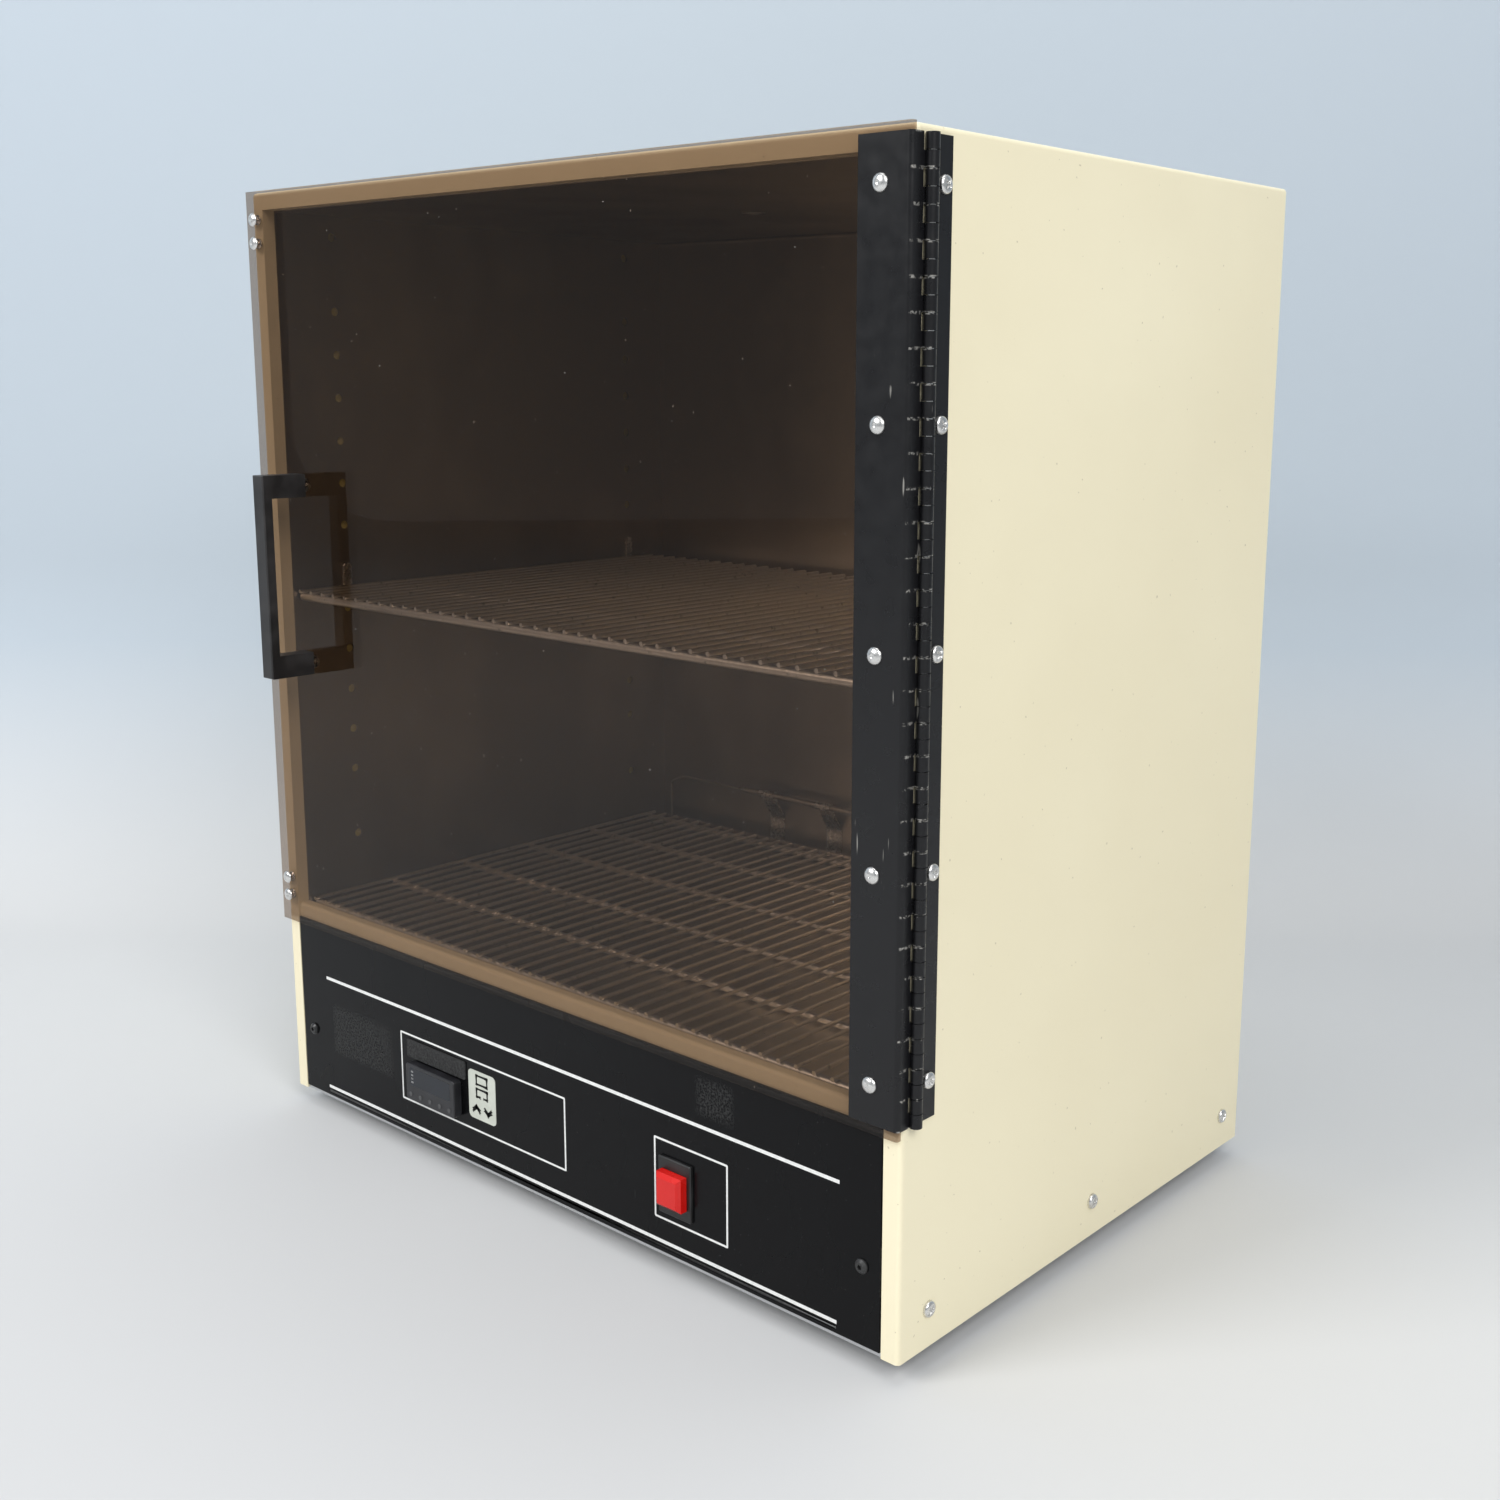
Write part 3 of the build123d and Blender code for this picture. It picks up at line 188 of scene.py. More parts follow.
# %% [markdown]
# The leaf and the pan are held by pan-head screws with a cross recess. Such a
# recess could be cut with a boolean, but a height field does it with less: the
# head's surface is pushed down wherever a point lies inside one of two crossed
# slots, and the slots get shallower away from the middle, as the tool is.

# %% Cross-recessed screw head
SCREW_HEAD_RADIUS = 4.3
SCREW_HEAD_HEIGHT = 2.6
SHANK_RADIUS = 2.0


def soft_step(value):
    """A smooth rise from 0 to 1 while the value goes from 0 to 1."""
    value = np.clip(value, 0, 1)
    return value * value * (3 - 2 * value)


def cross_recess(x, y, width=1.15, reach=2.35, depth=1.5):
    """Depth of two crossed slots: inside a slot the depth falls off in a line towards its end."""
    edge = 0.16
    along = soft_step((reach - np.abs(x)) / edge) * soft_step((width / 2 - np.abs(y)) / edge)
    painted_light_ramp = soft_step((reach - np.abs(y)) / edge) * soft_step((width / 2 - np.abs(x)) / edge)
    distance = np.hypot(x, y)
    return np.maximum(along, painted_light_ramp) * depth * np.clip(1 - 0.62 * distance / reach, 0, 1)


def screw_shape(turn_angle, shank):
    """A pan head with its recess, its flat underside and a shank, turned by an angle."""
    radii, heights = dome_profile(SCREW_HEAD_RADIUS, SCREW_HEAD_HEIGHT, 3, 44)
    radii = np.concatenate([radii, [SHANK_RADIUS, SHANK_RADIUS, 0]])
    heights = np.concatenate([heights, [0, -shank, -shank]])
    points, faces = turned(radii, heights, 88)
    head = points[:, 2] > 0.4
    turned_x = np.cos(turn_angle) * points[:, 0] + np.sin(turn_angle) * points[:, 1]
    turned_y = -np.sin(turn_angle) * points[:, 0] + np.cos(turn_angle) * points[:, 1]
    points[head, 2] -= cross_recess(turned_x[head], turned_y[head])
    return points * MM, faces


print("recess is", round(float(cross_recess(np.array([0.0]), np.array([0.0]))[0]), 2), "mm deep")

# %% [markdown]
# The door leaf is held to the pane by domed rivets. Each is one turned part:
# a low dome with a small pit where its mandrel broke off, the shank through
# leaf and pane, and a flat tail behind the pane.

# %% Domed rivet


def rivet_shape(head_radius, head_height, grip, tail_radius, tail):
    """A dome with a pit in its middle, a shank and a flat tail, as one closed turned shape."""
    radii, heights = dome_profile(head_radius, head_height, 2, 26)
    pit = 0.35 * np.clip(1 - (radii / 0.95) ** 4, 0, 1)
    radii = np.concatenate([radii, [SHANK_RADIUS, SHANK_RADIUS, tail_radius, tail_radius, 0]])
    heights = np.concatenate([heights - pit, [0, -grip, -grip, -grip - tail, -grip - tail]])
    points, faces = turned(radii, heights, 48)
    return points * MM, faces


# %% [markdown]
# The print on the panel is a film of ink. Each line or card is a thin slab: an
# outline drawn flat, repeated at two heights and closed by a wall. A frame is
# the same with a second outline inside the first.

# %% Thin slabs


def rounded_outline(width, height, corner, steps=6):
    """Corners of a rectangle, each replaced by a quarter of a circle; anticlockwise."""
    arc = np.linspace(0, np.pi / 2, steps)
    corners = [(1, 1, 0), (-1, 1, 1), (-1, -1, 2), (1, -1, 3)]
    parts = []
    for sign_x, sign_y, quarter in corners:
        angle = arc + quarter * np.pi / 2
        parts.append(
            np.stack(
                [
                    sign_x * (width / 2 - corner) + corner * np.cos(angle),
                    sign_y * (height / 2 - corner) + corner * np.sin(angle),
                ],
                axis=1,
            )
        )
    return np.concatenate(parts)


def slab(outline, low, high):
    """A flat outline made solid between two heights."""
    count = len(outline)
    points = np.concatenate(
        [
            np.column_stack([outline, np.full(count, high)]),
            np.column_stack([outline, np.full(count, low)]),
        ]
    )
    step = np.arange(count)
    nxt = (step + 1) % count
    walls = np.stack([step, step + count, nxt + count, nxt], axis=1)
    return points, [step.tolist(), (step[::-1] + count).tolist()] + walls.tolist()


def ring_slab(outer, inner, low, high):
    """The band between two outlines with equal numbers of points, made solid between two heights."""
    count = len(outer)
    loops = [
        np.column_stack([loop, np.full(count, level)])
        for level in (high, low)
        for loop in (outer, inner)
    ]
    step = np.arange(count)
    nxt = (step + 1) % count
    faces = []
    for a, b in ((0, 1), (1, 3), (3, 2), (2, 0)):
        corners = [a * count + step, a * count + nxt, b * count + nxt, b * count + step]
        faces += np.stack(corners, axis=1).tolist()
    return np.concatenate(loops), faces


def stroke(x0, y0, x1, y1, width, low, high):
    """A straight line of ink with round ends."""
    length = math.hypot(x1 - x0, y1 - y0)
    outline = rounded_outline(length + width, width, width / 2 - 0.001)
    angle = math.atan2(y1 - y0, x1 - x0)
    turned_outline = np.stack(
        [
            (x0 + x1) / 2 + math.cos(angle) * outline[:, 0] - math.sin(angle) * outline[:, 1],
            (y0 + y1) / 2 + math.sin(angle) * outline[:, 0] + math.cos(angle) * outline[:, 1],
        ],
        axis=1,
    )
    return slab(turned_outline, low, high)


# %% [markdown]
# A finish is a small graph of nodes. The patterns read Object coordinates,
# which are metres in the model's own frame, so a noise of scale 400 has
# features of about 2.5 mm wherever it is used. These helpers make the graphs
# short to write: one adds a node and sets or links its inputs, the others are
# the few steps that every finish needs.

# %% Node helpers


def add_node(tree, kind, inputs=None, **settings):
    """Add a node, then set each named input or link it to the given socket."""
    made = tree.nodes.new(kind)
    for key, value in settings.items():
        setattr(made, key, value)
    for key, value in (inputs or {}).items():
        if isinstance(value, bpy.types.NodeSocket):
            tree.links.new(value, made.inputs[key])
        else:
            made.inputs[key].default_value = value
    return made


def start_finish(name):
    """An empty material with its output, its shader and the Object coordinates."""
    finish = bpy.data.materials.new(name)
    finish.use_nodes = True
    tree = finish.node_tree
    tree.nodes.clear()
    shader = add_node(tree, "ShaderNodeBsdfPrincipled")
    output = add_node(tree, "ShaderNodeOutputMaterial", {"Surface": shader.outputs[0]})
    coords = add_node(tree, "ShaderNodeTexCoord").outputs["Object"]
    return finish, tree, shader, output, coords


def noise(tree, coords, scale, detail=2.0, stretch=(1, 1, 1)):
    """A value between 0 and 1 that wanders with place, drawn out by the stretch along each axis."""
    mapped = add_node(tree, "ShaderNodeMapping", {"Vector": coords, "Scale": stretch})
    settings = {"Vector": mapped.outputs[0], "Scale": scale, "Detail": detail}
    return add_node(tree, "ShaderNodeTexNoise", settings).outputs["Fac"]


def rescale(tree, value, low, high, new_low, new_high):
    """Turn the range low to high into new_low to new_high, and hold it there."""
    made = add_node(
        tree,
        "ShaderNodeMapRange",
        {"Value": value, "From Min": low, "From Max": high, "To Min": new_low, "To Max": new_high},
    )
    return made.outputs["Result"]


def drive(tree, shader, **values):
    """Link each value to the shader's input of that name; an underscore stands for a space."""
    for name, value in values.items():
        tree.links.new(value, shader.inputs[name.replace("_", " ")])


def mix_colour(tree, share, first, second):
    """First colour where the share is 0, second where it is 1."""
    made = add_node(tree, "ShaderNodeMix", data_type="RGBA")
    for index, value in ((0, share), (6, first), (7, second)):
        if isinstance(value, bpy.types.NodeSocket):
            tree.links.new(value, made.inputs[index])
        elif index:
            made.inputs[index].default_value = (*value, 1)
        else:
            made.inputs[index].default_value = value
    return made.outputs[2]


def calculate(tree, operation, first, second=0.0):
    """One step of arithmetic on two values."""
    made = add_node(tree, "ShaderNodeMath", {0: first, 1: second}, operation=operation)
    return made.outputs[0]


def roughen(tree, shader, value, strength, distance):
    """Tilt the surface by the slope of a value, as fine relief does."""
    made = add_node(tree, "ShaderNodeBump", {"Height": value, "Strength": strength, "Distance": distance})
    tree.links.new(made.outputs[0], shader.inputs["Normal"])


def place_mask(tree, coords, low, high, edge):
    """1 inside a box of the model, falling to 0 across its edge: a product over the three axes."""
    parts = add_node(tree, "ShaderNodeSeparateXYZ", {"Vector": coords}).outputs
    result = None
    for axis in range(3):
        rise = rescale(tree, parts[axis], low[axis] - edge, low[axis] + edge, 0, 1)
        fall = rescale(tree, parts[axis], high[axis] - edge, high[axis] + edge, 1, 0)
        both = calculate(tree, "MULTIPLY", rise, fall)
        result = both if result is None else calculate(tree, "MULTIPLY", result, both)
    return result


# %% [markdown]
# The cabinet's enamel is sprayed and baked. Close up it has the faint ripple
# of an orange's skin, its colour drifts a little, and it holds a few specks.
# A bump of small noise gives the ripple and a slow noise gives the drift.

# %% Ivory enamel


def ivory_enamel():
    """Cream colour that drifts by a few percent, fine ripple and sparse specks."""
    finish, tree, shader, _, coords = start_finish("ivory_enamel")
    drift = rescale(tree, noise(tree, coords, 5.0, 3), 0.3, 0.7, 0, 1)
    cream = mix_colour(tree, drift, (0.86, 0.775, 0.545), (0.9, 0.82, 0.59))
    specks = rescale(tree, noise(tree, coords, 330, 1), 0.765, 0.8, 0, 0.5)
    colour = mix_colour(tree, specks, cream, (0.4, 0.33, 0.2))
    gloss = rescale(tree, noise(tree, coords, 40, 4), 0.3, 0.7, 0.34, 0.46)
    drive(tree, shader, Base_Color=colour, Roughness=gloss)
    roughen(tree, shader, noise(tree, coords, 900, 2), 0.1, 0.0002)
    return finish


# %% [markdown]
# The panel and the controller are black, and a black surface shows its life
# only in its gloss: wiped smears, dust, fine scratches, and dull patches where
# labels were peeled off. Each patch is a box in the model's coordinates,
# broken up by noise.

# %% Black panel
LABEL_TRACES = (
    ((46.7, 35.6), (109.3, 66.8)),
    ((382.9, 92.3), (407.9, 111.9)),
)


def panel_black():
    """Gloss black with smears, dust and the traces of peeled labels."""
    finish, tree, shader, _, coords = start_finish("panel_black")
    traces = None
    for (x0, z0), (x1, z1) in LABEL_TRACES:
        mask = place_mask(tree, coords, spot(x0, -3, z0), spot(x1, 3, z1), 0.0025)
        traces = mask if traces is None else calculate(tree, "MAXIMUM", traces, mask)
    grain = rescale(tree, noise(tree, coords, 750, 5), 0.46, 0.6, 0, 1)
    traces = calculate(tree, "MULTIPLY", traces, grain)
    dust = rescale(tree, noise(tree, coords, 1100, 1), 0.74, 0.79, 0, 0.6)
    scratch = rescale(tree, noise(tree, coords, 300, 2, (1, 1, 0.12)), 0.76, 0.79, 0, 0.2)
    marks = calculate(tree, "MAXIMUM", dust, scratch)
    colour = mix_colour(tree, marks, (0.0035, 0.0035, 0.004), (0.16, 0.16, 0.16))
    colour = mix_colour(tree, traces, colour, (0.035, 0.035, 0.035))
    smear = rescale(tree, noise(tree, coords, 22, 4, (1, 1, 0.5)), 0.35, 0.7, 0.16, 0.36)
    kept = calculate(tree, "MULTIPLY", smear, calculate(tree, "SUBTRACT", 1.0, traces))
    gloss = calculate(tree, "ADD", kept, calculate(tree, "MULTIPLY", traces, 0.7))
    drive(tree, shader, Base_Color=colour, Roughness=gloss)
    shader.inputs["Specular IOR Level"].default_value = 0.13
    roughen(tree, shader, traces, 0.25, 0.0002)
    return finish


def black_plastic(name, colour, low, high, grain_scale):
    """Moulded black plastic with a fine grain and slightly uneven gloss."""
    finish, tree, shader, _, coords = start_finish(name)
    wander = noise(tree, coords, 60, 3)
    paler = tuple(2.2 * c + 0.004 for c in colour)
    mixed = mix_colour(tree, rescale(tree, wander, 0.45, 0.75, 0, 1), colour, paler)
    drive(tree, shader, Base_Color=mixed, Roughness=rescale(tree, wander, 0.3, 0.7, low, high))
    roughen(tree, shader, noise(tree, coords, grain_scale, 3), 0.12, 0.0001)
    return finish


# %% [markdown]
# The hinge was painted black and has worn. Where one knuckle turns on the
# next the paint is rubbed away in thin bright rings. Their spacing is known,
# so the height above the hinge's lower end is folded back and forth by one
# pitch, which gives 0 at every joint, and noise breaks the rings up.

# %% Worn hinge paint
KNUCKLE_PITCH = 7.6 * MM


def hinge_paint():
    """Satin black over steel, rubbed bright at the joints of the knuckles and at stray scratches."""
    finish, tree, shader, _, coords = start_finish("worn_hinge_paint")
    hinge_low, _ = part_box("hinge_pin")
    parts = add_node(tree, "ShaderNodeSeparateXYZ", {"Vector": coords}).outputs
    above = calculate(tree, "SUBTRACT", parts[2], float(hinge_low.z))
    folded = calculate(tree, "PINGPONG", above, KNUCKLE_PITCH)
    near_joint = rescale(tree, folded, 0.0003, 0.0009, 1, 0)
    barrel = place_mask(tree, coords, (hinge_low.x - 0.0012, -1, -1), (1, hinge_low.y + 0.004, 1), 0.0003)
    patchy = rescale(tree, noise(tree, coords, 420, 3), 0.5, 0.62, 0, 1)
    rings = calculate(tree, "MULTIPLY", calculate(tree, "MULTIPLY", near_joint, barrel), patchy)
    scratch = rescale(tree, noise(tree, coords, 240, 2, (1, 1, 0.1)), 0.73, 0.76, 0, 0.7)
    worn = calculate(tree, "MAXIMUM", rings, scratch)
    colour = mix_colour(tree, worn, (0.008, 0.008, 0.009), (0.5, 0.48, 0.44))
    gloss = rescale(tree, noise(tree, coords, 90, 3), 0.3, 0.7, 0.24, 0.42)
    drive(tree, shader, Base_Color=colour, Metallic=worn, Roughness=gloss)
    shader.inputs["Specular IOR Level"].default_value = 0.3
    roughen(tree, shader, noise(tree, coords, 700, 2), 0.08, 0.0001)
    return finish


# %% [markdown]
# The chamber's sheets are satin metal, with a grain left by the rolling. Metal
# has no colour of its own but that of what it mirrors, so the grain sits in
# the roughness and in a very shallow bump, drawn out along the sheet. The
# liner and the wires are kept just dull enough that the denoiser still sees
# them as surfaces and not as mirrors, or else it smears the wires away.

# %% Metals


def satin_sheet(name, colour, low, high, stretch):
    """Rolled metal sheet with a grain drawn out along one direction and soft blotches."""
    finish, tree, shader, _, coords = start_finish(name)
    grain = noise(tree, coords, 500, 3, stretch)
    blotch = noise(tree, coords, 9, 3)
    shade = tuple(0.86 * c for c in colour)
    mixed = mix_colour(tree, rescale(tree, blotch, 0.35, 0.7, 0, 1), colour, shade)
    drive(tree, shader, Base_Color=mixed, Roughness=rescale(tree, grain, 0.3, 0.7, low, high))
    shader.inputs["Metallic"].default_value = 1.0
    roughen(tree, shader, grain, 0.02, 0.00003)
    return finish


def liner_sheet():
    """Satin sheet with painted light: painted shade at the left, a painted golden reflection towards the
    right, and a soft upright grain.
    """
    finish, tree, shader, _, coords = start_finish("liner_metal")
    grain = noise(tree, coords, 500, 3, (0.06, 0.06, 1))
    cloud = noise(tree, coords, 7, 3, (1, 1, 0.6))
    parts = add_node(tree, "ShaderNodeSeparateXYZ", {"Vector": coords}).outputs
    # Painted light: the colour runs from painted shade at the left to a painted golden reflection at the
    # right, broken up a little by the cloud noise.
    painted_light_ramp = rescale(tree, parts[0], -0.12, 0.26, 0, 0.85)
    painted_light = calculate(tree, "ADD", painted_light_ramp, rescale(tree, cloud, 0.35, 0.65, -0.15, 0.15))
    painted_light = rescale(tree, painted_light, 0, 1, 0, 1)
    colour = mix_colour(tree, painted_light, (0.36, 0.33, 0.3), (1.0, 0.93, 0.76))
    drive(tree, shader, Base_Color=colour, Roughness=rescale(tree, grain, 0.3, 0.7, 0.29, 0.36))
    shader.inputs["Metallic"].default_value = 1.0
    roughen(tree, shader, grain, 0.02, 0.00003)
    return finish


def plated(name, colour, low, high):
    """Small plated parts and wire: bright metal with slightly clouded gloss and dark specks."""
    finish, tree, shader, _, coords = start_finish(name)
    cloud = noise(tree, coords, 300, 3)
    dull = tuple(0.6 * c for c in colour)
    mixed = mix_colour(tree, rescale(tree, cloud, 0.6, 0.75, 0, 1), colour, dull)
    drive(tree, shader, Base_Color=mixed, Roughness=rescale(tree, cloud, 0.3, 0.7, low, high))
    shader.inputs["Metallic"].default_value = 1.0
    return finish


# %% [markdown]
# The door is a sheet of bronze acrylic. Light that goes through it once keeps
# about half its red and less of its green and blue, and it meets two surfaces
# on the way, so each surface passes the square root of that. A glass shader
# would bend the view by less than anyone can see in so thin a sheet, and would
# hide the fine wires behind it from the denoiser. So each surface is a tinted
# clear shader, mixed with a mirror. The mirror's share follows the fifth power
# of how far the surface turns away from the view, as on any clear sheet.
# Specks of dust are small spots where the sheet is dull.

# %% Bronze door sheet
ONE_PASS = (0.49, 0.41, 0.35)


def bronze_sheet():
    """Tinted clear shader plus a mirror whose share grows at a grazing view, or a speck of dust."""
    finish, tree, shader, output, coords = start_finish("bronze_sheet")
    dust = rescale(tree, noise(tree, coords, 420, 1), 0.79, 0.82, 0, 1)
    colour = mix_colour(tree, dust, (1, 1, 1), (0.55, 0.5, 0.44))
    clean = rescale(tree, dust, 0, 1, 1, 0)
    drive(tree, shader, Base_Color=colour, Metallic=clean, Roughness=rescale(tree, dust, 0, 1, 0.02, 0.7))
    tint = tuple(math.sqrt(share) for share in ONE_PASS) + (1,)
    clear = add_node(tree, "ShaderNodeBsdfTransparent", {"Color": tint})
    facing = add_node(tree, "ShaderNodeLayerWeight", {"Blend": 0.5}).outputs["Facing"]
    steep = calculate(tree, "MULTIPLY", calculate(tree, "POWER", facing, 5.0), 0.5)
    mirror = calculate(tree, "ADD", steep, 0.02)
    share = calculate(tree, "MAXIMUM", mirror, calculate(tree, "MULTIPLY", dust, 0.6))
    both = add_node(tree, "ShaderNodeMixShader", {0: share, 1: clear.outputs[0], 2: shader.outputs[0]})
    tree.links.new(both.outputs[0], output.inputs["Surface"])
    return finish


# %% [markdown]
# The rest are everyday stuffs: the red cap of the switch, rubber keys and
# feet, the ink and card of the panel's print, fibre boards round the chamber.

# %% Everyday finishes


def plain_stuff(name, first, second, scale, low, high, bump, distance=0.0002):
    """Two near colours mixed by noise, uneven gloss and a fine relief."""
    finish, tree, shader, _, coords = start_finish(name)
    wander = noise(tree, coords, scale, 4)
    mixed = mix_colour(tree, rescale(tree, wander, 0.35, 0.65, 0, 1), first, second)
    drive(tree, shader, Base_Color=mixed, Roughness=rescale(tree, wander, 0.3, 0.7, low, high))
    roughen(tree, shader, noise(tree, coords, 4 * scale, 3), bump, distance)
    return finish


finishes = {
    "shell_paint": ivory_enamel(),
    "panel_black": panel_black(),
    "hinge_black": hinge_paint(),
    "door_acrylic": bronze_sheet(),
    "zinc_sheet": satin_sheet("zinc_sheet", (0.62, 0.63, 0.64), 0.34, 0.5, (0.05, 1, 1)),
    "liner_metal": liner_sheet(),
    "bright_steel": plated("bright_steel", (0.74, 0.73, 0.71), 0.2, 0.36),
    "shelf_wire": plated("shelf_wire", (0.82, 0.8, 0.76), 0.29, 0.38),
    "sensor_metal": plated("sensor_metal", (0.5, 0.46, 0.4), 0.3, 0.42),
    "black_steel": black_plastic("black_steel", (0.012, 0.012, 0.012), 0.3, 0.45, 900),
    "controller_plastic": black_plastic("controller_plastic", (0.012, 0.012, 0.014), 0.32, 0.5, 1500),
    "switch_black": black_plastic("switch_black", (0.008, 0.008, 0.008), 0.35, 0.5, 1400),
    "handle_black": black_plastic("handle_black", (0.012, 0.011, 0.011), 0.3, 0.48, 1100),
    "bay_plastic": black_plastic("bay_plastic", (0.05, 0.05, 0.052), 0.45, 0.6, 900),
    "display_window": plain_stuff(
        "display_window", (0.004, 0.006, 0.01), (0.006, 0.009, 0.016), 80, 0.06, 0.12, 0.01
    ),
    "key_rubber": plain_stuff("key_rubber", (0.05, 0.05, 0.052), (0.08, 0.08, 0.082), 300, 0.5, 0.65, 0.1),
    "foot_rubber": plain_stuff("foot_rubber", (0.02, 0.02, 0.02), (0.035, 0.034, 0.033), 150, 0.7, 0.85, 0.3),
    "switch_red": plain_stuff("switch_red", (0.6, 0.006, 0.004), (0.66, 0.012, 0.008), 60, 0.22, 0.3, 0.03),
    "magnet_ferrite": plain_stuff(
        "magnet_ferrite", (0.05, 0.05, 0.052), (0.09, 0.09, 0.09), 300, 0.6, 0.8, 0.4
    ),
    "glass_wool": plain_stuff("glass_wool", (0.72, 0.6, 0.22), (0.86, 0.76, 0.36), 260, 0.9, 1.0, 0.9, 0.001),
}
white_ink = plain_stuff("white_ink", (0.74, 0.74, 0.72), (0.84, 0.84, 0.82), 500, 0.45, 0.6, 0.05)
grey_ink = plain_stuff("grey_ink", (0.16, 0.16, 0.16), (0.24, 0.24, 0.24), 500, 0.5, 0.7, 0.05)
legend_card = plain_stuff("legend_card", (0.53, 0.55, 0.48), (0.6, 0.62, 0.55), 120, 0.4, 0.55, 0.05)
print(len(finishes) + 3, "finishes")

# %% [markdown]
# Each node of the model carries the name of its finish in the record, so one
# loop dresses them all and none is forgotten.

# %% Dress the nodes
slot_of = {item["node"]: item["material_slot"] for item in frame["record"]["subparts"]}
for name, item in nodes.items():
    for material_slot in item.material_slots:
        material_slot.material = finishes[slot_of[name]]
    if not item.material_slots:
        item.data.materials.append(finishes[slot_of[name]])
print(len(nodes), "nodes dressed,", len(set(slot_of.values())), "finishes in use")

# %% [markdown]
# Two fasteners are never turned to the same angle, so every screw gets its
# own. A fixed seed keeps them the same each time this file runs.

# %% Screws and rivets
chance = np.random.default_rng(7)
HINGE_HEIGHTS = 144.0 + 103.8 * np.arange(5)
LEAF_SCREW_DEPTH = 18.0
LEAF_RIVET_INSET = 16.0
LEAF_SHEET = 1.2
PANE_SHEET = 3.0
PAN_SCREW_DEPTHS = (23.7, 175.0, 326.3)
PAN_SCREW_HEIGHT = 21.0
SHANK_LENGTH = 6.0
CATCH_INSET = 6.5
CATCH_HEIGHTS = (567.6, 553.5, 147.6, 135.7)
width_mm = (shell_high.x - shell_low.x) / MM



def add_fasteners(name, shapes, body):
    """Join a group of heads into one bright steel piece."""
    return add_piece(name, *join_shapes(shapes), body, finishes["bright_steel"], "bright_steel")


leaf_screws = [
    (on_side(points, spot(width_mm + LEAF_SHEET, LEAF_SCREW_DEPTH, z), 1), faces)
    for z in HINGE_HEIGHTS
    for points, faces in [screw_shape(chance.uniform(0, np.pi), SHANK_LENGTH)]
]
piece = add_fasteners("leaf_screw_heads", leaf_screws, "cabinet")
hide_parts("hinge_leaf_screws")

pan_screws = [
    (on_side(points, spot(x, y, PAN_SCREW_HEIGHT), outward), faces)
    for x, outward in ((0.0, -1), (width_mm, 1))
    for y in PAN_SCREW_DEPTHS
    for points, faces in [screw_shape(chance.uniform(0, np.pi), SHANK_LENGTH)]
]
piece = add_fasteners("pan_screw_heads", pan_screws, "cabinet")
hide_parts("side_screws")

leaf_front = float(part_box("hinge_door_leaf")[0].y - shell_low.y) / MM
pane_front = float(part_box("door_pane")[0].y - shell_low.y) / MM
hinge_rivets = [
    (on_front(points, spot(width_mm - LEAF_RIVET_INSET, leaf_front, z)), faces)
    for z in HINGE_HEIGHTS
    for points, faces in [rivet_shape(4.25, 2.3, LEAF_SHEET + PANE_SHEET, 3.2, 1.0)]
]
piece = add_fasteners("domed_rivets", hinge_rivets, "door")
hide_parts("hinge_rivets")

catch_rivets = [
    (on_front(points, spot(CATCH_INSET, pane_front, z)), faces)
    for z in CATCH_HEIGHTS
    for points, faces in [rivet_shape(4.0, 1.9, PANE_SHEET, 3.2, 0.7)]
]
piece = add_fasteners("catch_rivets", catch_rivets, "door")
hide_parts("striker_rivets")

# %% [markdown]
# The print on the panel is two long rules and two frames round the controls.
# The words that such a panel carries are left off, and the symbols on the key
# card are the generic ones for enter, scroll, up and down.

# %% Print on the panel
INK = (0.02 * MM, 0.07 * MM)


def add_to_panel(name, shape, finish, slot="panel_black", place=spot(0, 0, 0)):
    """Lay a drawn shape on the panel, whose face lies in the plane of the cabinet's front."""
    points, faces = shape
    add_piece(name, on_front(points, place), faces, "cabinet", finish, slot, False)


def panel_rule(x0, x1, z, width):
    """A long printed line, drawn from one end to the other."""
    return stroke(x0 * MM, z * MM, x1 * MM, z * MM, width * MM, *INK)


def panel_frame(x0, x1, z0, z1, width):
    """A printed frame: the band between a rectangle and a smaller one inside it."""
    middle = np.array([(x0 + x1) / 2, (z0 + z1) / 2]) * MM
    outer = rounded_outline((x1 - x0) * MM, (z1 - z0) * MM, 0.9 * MM)
    inner = rounded_outline((x1 - x0 - 2 * width) * MM, (z1 - z0 - 2 * width) * MM, 0.3 * MM)
    return ring_slab(outer + middle, inner + middle, *INK)


white_print = [
    panel_rule(41.0, 480.6, 84.8, 2.0),
    panel_rule(38.5, 479.4, 8.6, 2.0),
    panel_frame(119.6, 276.0, 24.0, 69.3, 1.2),
    panel_frame(349.2, 405.0, 21.8, 69.2, 1.2),
]
add_to_panel("panel_print", join_shapes(white_print), white_ink)
add_to_panel("panel_print_grey", panel_rule(38.5, 479.4, 5.6, 0.5), grey_ink)

# %% [markdown]
# A strip of worn hook tape is stuck on above the controller, and four short
# bars stand at the left edge of its display.

# %% Hook tape and display bars
TAPE_WIDTH, TAPE_HEIGHT, TAPE_THICKNESS = 58.0, 11.5, 0.9
TAPE_MIDDLE = (156.0, 60.2)
hook_tape = plain_stuff("hook_tape", (0.006, 0.006, 0.006), (0.05, 0.05, 0.05), 900, 0.8, 1.0, 0.9, 0.0008)
tape_outline = rounded_outline(TAPE_WIDTH * MM, TAPE_HEIGHT * MM, 1.2 * MM) + np.array(TAPE_MIDDLE) * MM
add_to_panel("hook_tape", slab(tape_outline, INK[0], TAPE_THICKNESS * MM), hook_tape)

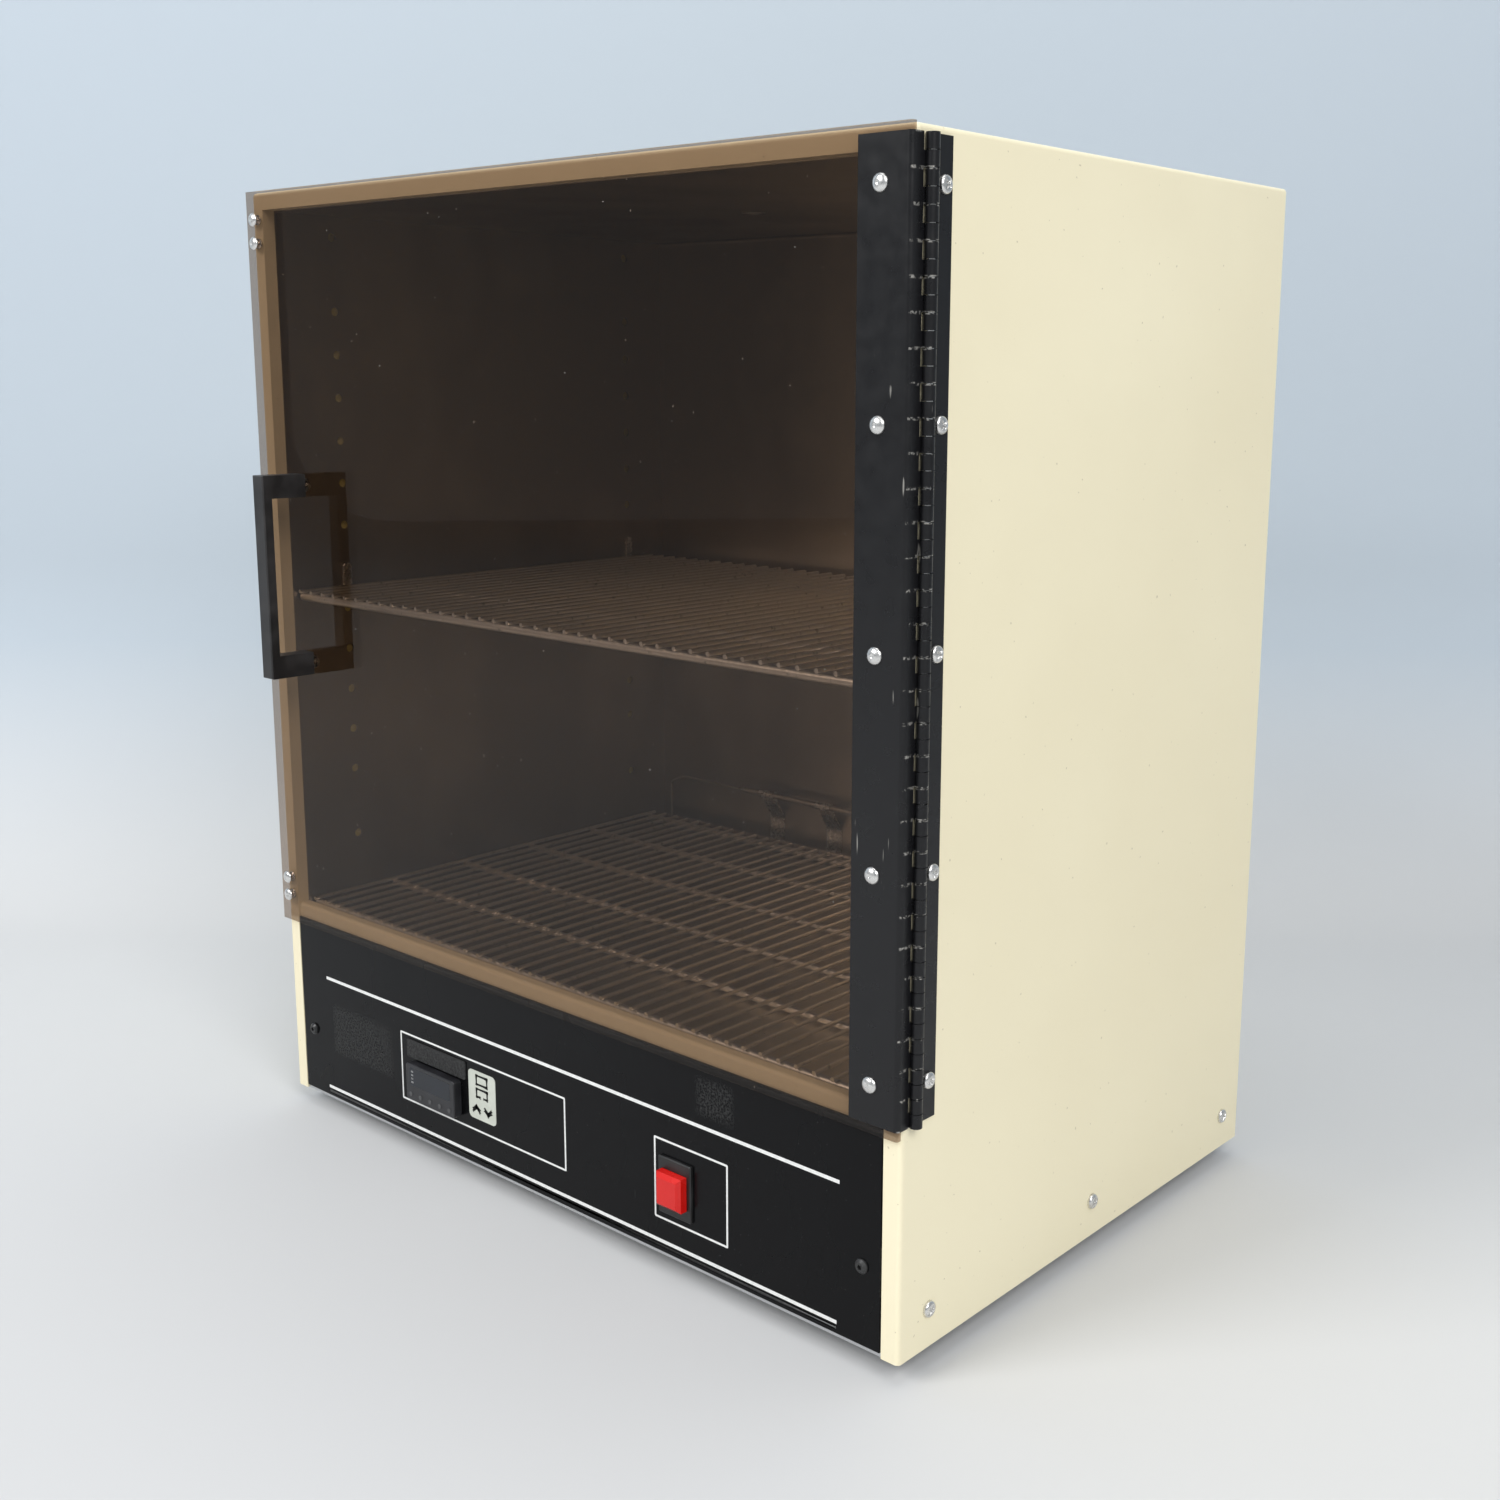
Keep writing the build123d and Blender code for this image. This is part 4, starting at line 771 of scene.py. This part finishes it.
window_low, window_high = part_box("controller_window")
bar_lows = window_low.z + (window_high.z - window_low.z) * np.array([0.14, 0.34, 0.54, 0.74])
bar_outline = rounded_outline(2.2 * MM, 1.1 * MM, 0.2 * MM)
bar_places = [np.array([window_low.x + 2.6 * MM, z]) for z in bar_lows + 0.6 * MM]
bars = [slab(bar_outline + place, INK[0], 0.08 * MM) for place in bar_places]
window_face = np.array([0, window_low.y, 0])
add_to_panel("display_bars", join_shapes(bars), grey_ink, "display_window", window_face)

# %% Key card
CARD_MIDDLE = np.array([200.25, 47.7])
SIGN_HEIGHTS = (0.24 * MM, 0.32 * MM)
card_outline = rounded_outline(25.5 * MM, 31.0 * MM, 3 * MM) + CARD_MIDDLE * MM
add_to_panel("key_card", slab(card_outline, INK[0], 0.25 * MM), legend_card)


def card_stroke(x0, z0, x1, z1):
    """A dark line on the card, given from the card's middle."""
    x, z = CARD_MIDDLE
    return stroke((x + x0) * MM, (z + z0) * MM, (x + x1) * MM, (z + z1) * MM, 1.0 * MM, *SIGN_HEIGHTS)


icons = [card_stroke(-5, 12.5, 5, 12.5), card_stroke(-5, 7, 5, 7)]
icons += [card_stroke(-5, 7, -5, 12.5), card_stroke(5, 7, 5, 12.5)]
icons += [card_stroke(-5, 4, 5, 4), card_stroke(-5, -1, -5, 4), card_stroke(5, -1, 5, 4)]
icons += [card_stroke(-5, -1, -2, -1), card_stroke(2, -1, 5, -1)]
for side, sign in ((-5.5, 1), (5.5, -1)):
    for offset in (0, 3.2):
        peak = -8.2 - offset / 2 + sign * 1.2
        icons += [card_stroke(side - 3, peak - sign * 2.4, side, peak)]
        icons += [card_stroke(side, peak, side + 3, peak - sign * 2.4)]
add_to_panel("key_card_symbols", join_shapes(icons), finishes["switch_black"])

# %% [markdown]
# The floor rises into the backdrop in one sweep, so there is no hard edge
# behind the object. It is a profile of two straight runs and a quarter of a
# circle, drawn out to both sides, square to the camera's direction.

# %% Floor and backdrop


def studio_sweep():
    """A flat run, a quarter circle and an upright run, carried sideways along a straight line."""
    flat = np.array([[-4.0, 0.0], [1.44, 0.0]])
    arc = np.linspace(0, np.pi / 2, 24)[1:]
    bend = np.stack([1.44 + 0.3 * np.sin(arc), 0.3 * (1 - np.cos(arc))], axis=1)
    upright = np.array([[1.74, 4.5]])
    profile = np.concatenate([flat, bend, upright])
    ahead = np.array([math.sin(yaw), math.cos(yaw)])
    sideways = np.array([ahead[1], -ahead[0]])
    columns = np.linspace(-5, 5, 11)
    ground = np.array(eye[:2]) + profile[:, None, 0:1] * ahead + columns[None, :, None] * sideways
    level = np.repeat(profile[:, 1:2, None], len(columns), axis=1)
    points = np.concatenate([ground, level], axis=2).reshape(-1, 3)
    count = len(columns)
    first = np.arange(len(profile) - 1)[:, None] * count + np.arange(count - 1)
    quads = np.stack([first, first + 1, first + count + 1, first + count], axis=2).reshape(-1, 4)
    return points, quads.tolist()


def studio_paper():
    """Pale floor that turns into a pale blue-grey wall with height."""
    finish, tree, shader, _, coords = start_finish("studio_paper")
    parts = add_node(tree, "ShaderNodeSeparateXYZ", {"Vector": coords}).outputs
    rise = rescale(tree, parts[2], 0.0, 0.22, 0, 1)
    colour = mix_colour(tree, rise, (0.6, 0.6, 0.6), (0.46, 0.52, 0.58))
    tree.links.new(colour, shader.inputs["Base Color"])
    shader.inputs["Roughness"].default_value = 0.8
    return finish


mesh = bpy.data.meshes.new("studio_sweep")
points, faces = studio_sweep()
mesh.from_pydata(points.tolist(), [], faces)
mesh.polygons.foreach_set("use_smooth", np.ones(len(faces), bool))
mesh.materials.append(studio_paper())
sweep = bpy.data.objects.new("studio_sweep", mesh)
bpy.context.scene.collection.objects.link(sweep)
print("sweep", len(faces), "faces")

# %% [markdown]
# Large soft lamps light a glossy object evenly. All stand high, above what
# the door and the panel mirror towards the camera, so the black stays black.

# %% Light


def soft_lamp(name, place, target, size, power):
    """A square lamp that looks at a point."""
    lamp = bpy.data.lights.new(name, "AREA")
    lamp.size = size
    lamp.energy = power
    holder = bpy.data.objects.new(name, lamp)
    holder.location = place
    holder.rotation_euler = (Vector(target) - Vector(place)).to_track_quat("-Z", "Y").to_euler()
    bpy.context.scene.collection.objects.link(holder)


centre = (0, 0, 0.3)
soft_lamp("key_lamp", (2.0, -1.1, 1.9), centre, 1.3, 42)
soft_lamp("front_lamp", (-0.9, -2.6, 2.1), centre, 1.3, 60)
soft_lamp("top_lamp", (0.2, 0.0, 2.6), centre, 1.5, 16)

world = bpy.data.worlds.new("studio_air")
world.use_nodes = True
world.node_tree.nodes["Background"].inputs["Color"].default_value = (0.9, 0.95, 1.0, 1)
world.node_tree.nodes["Background"].inputs["Strength"].default_value = 0.42
bpy.context.scene.world = world
bpy.context.scene.view_settings.view_transform = "Standard"
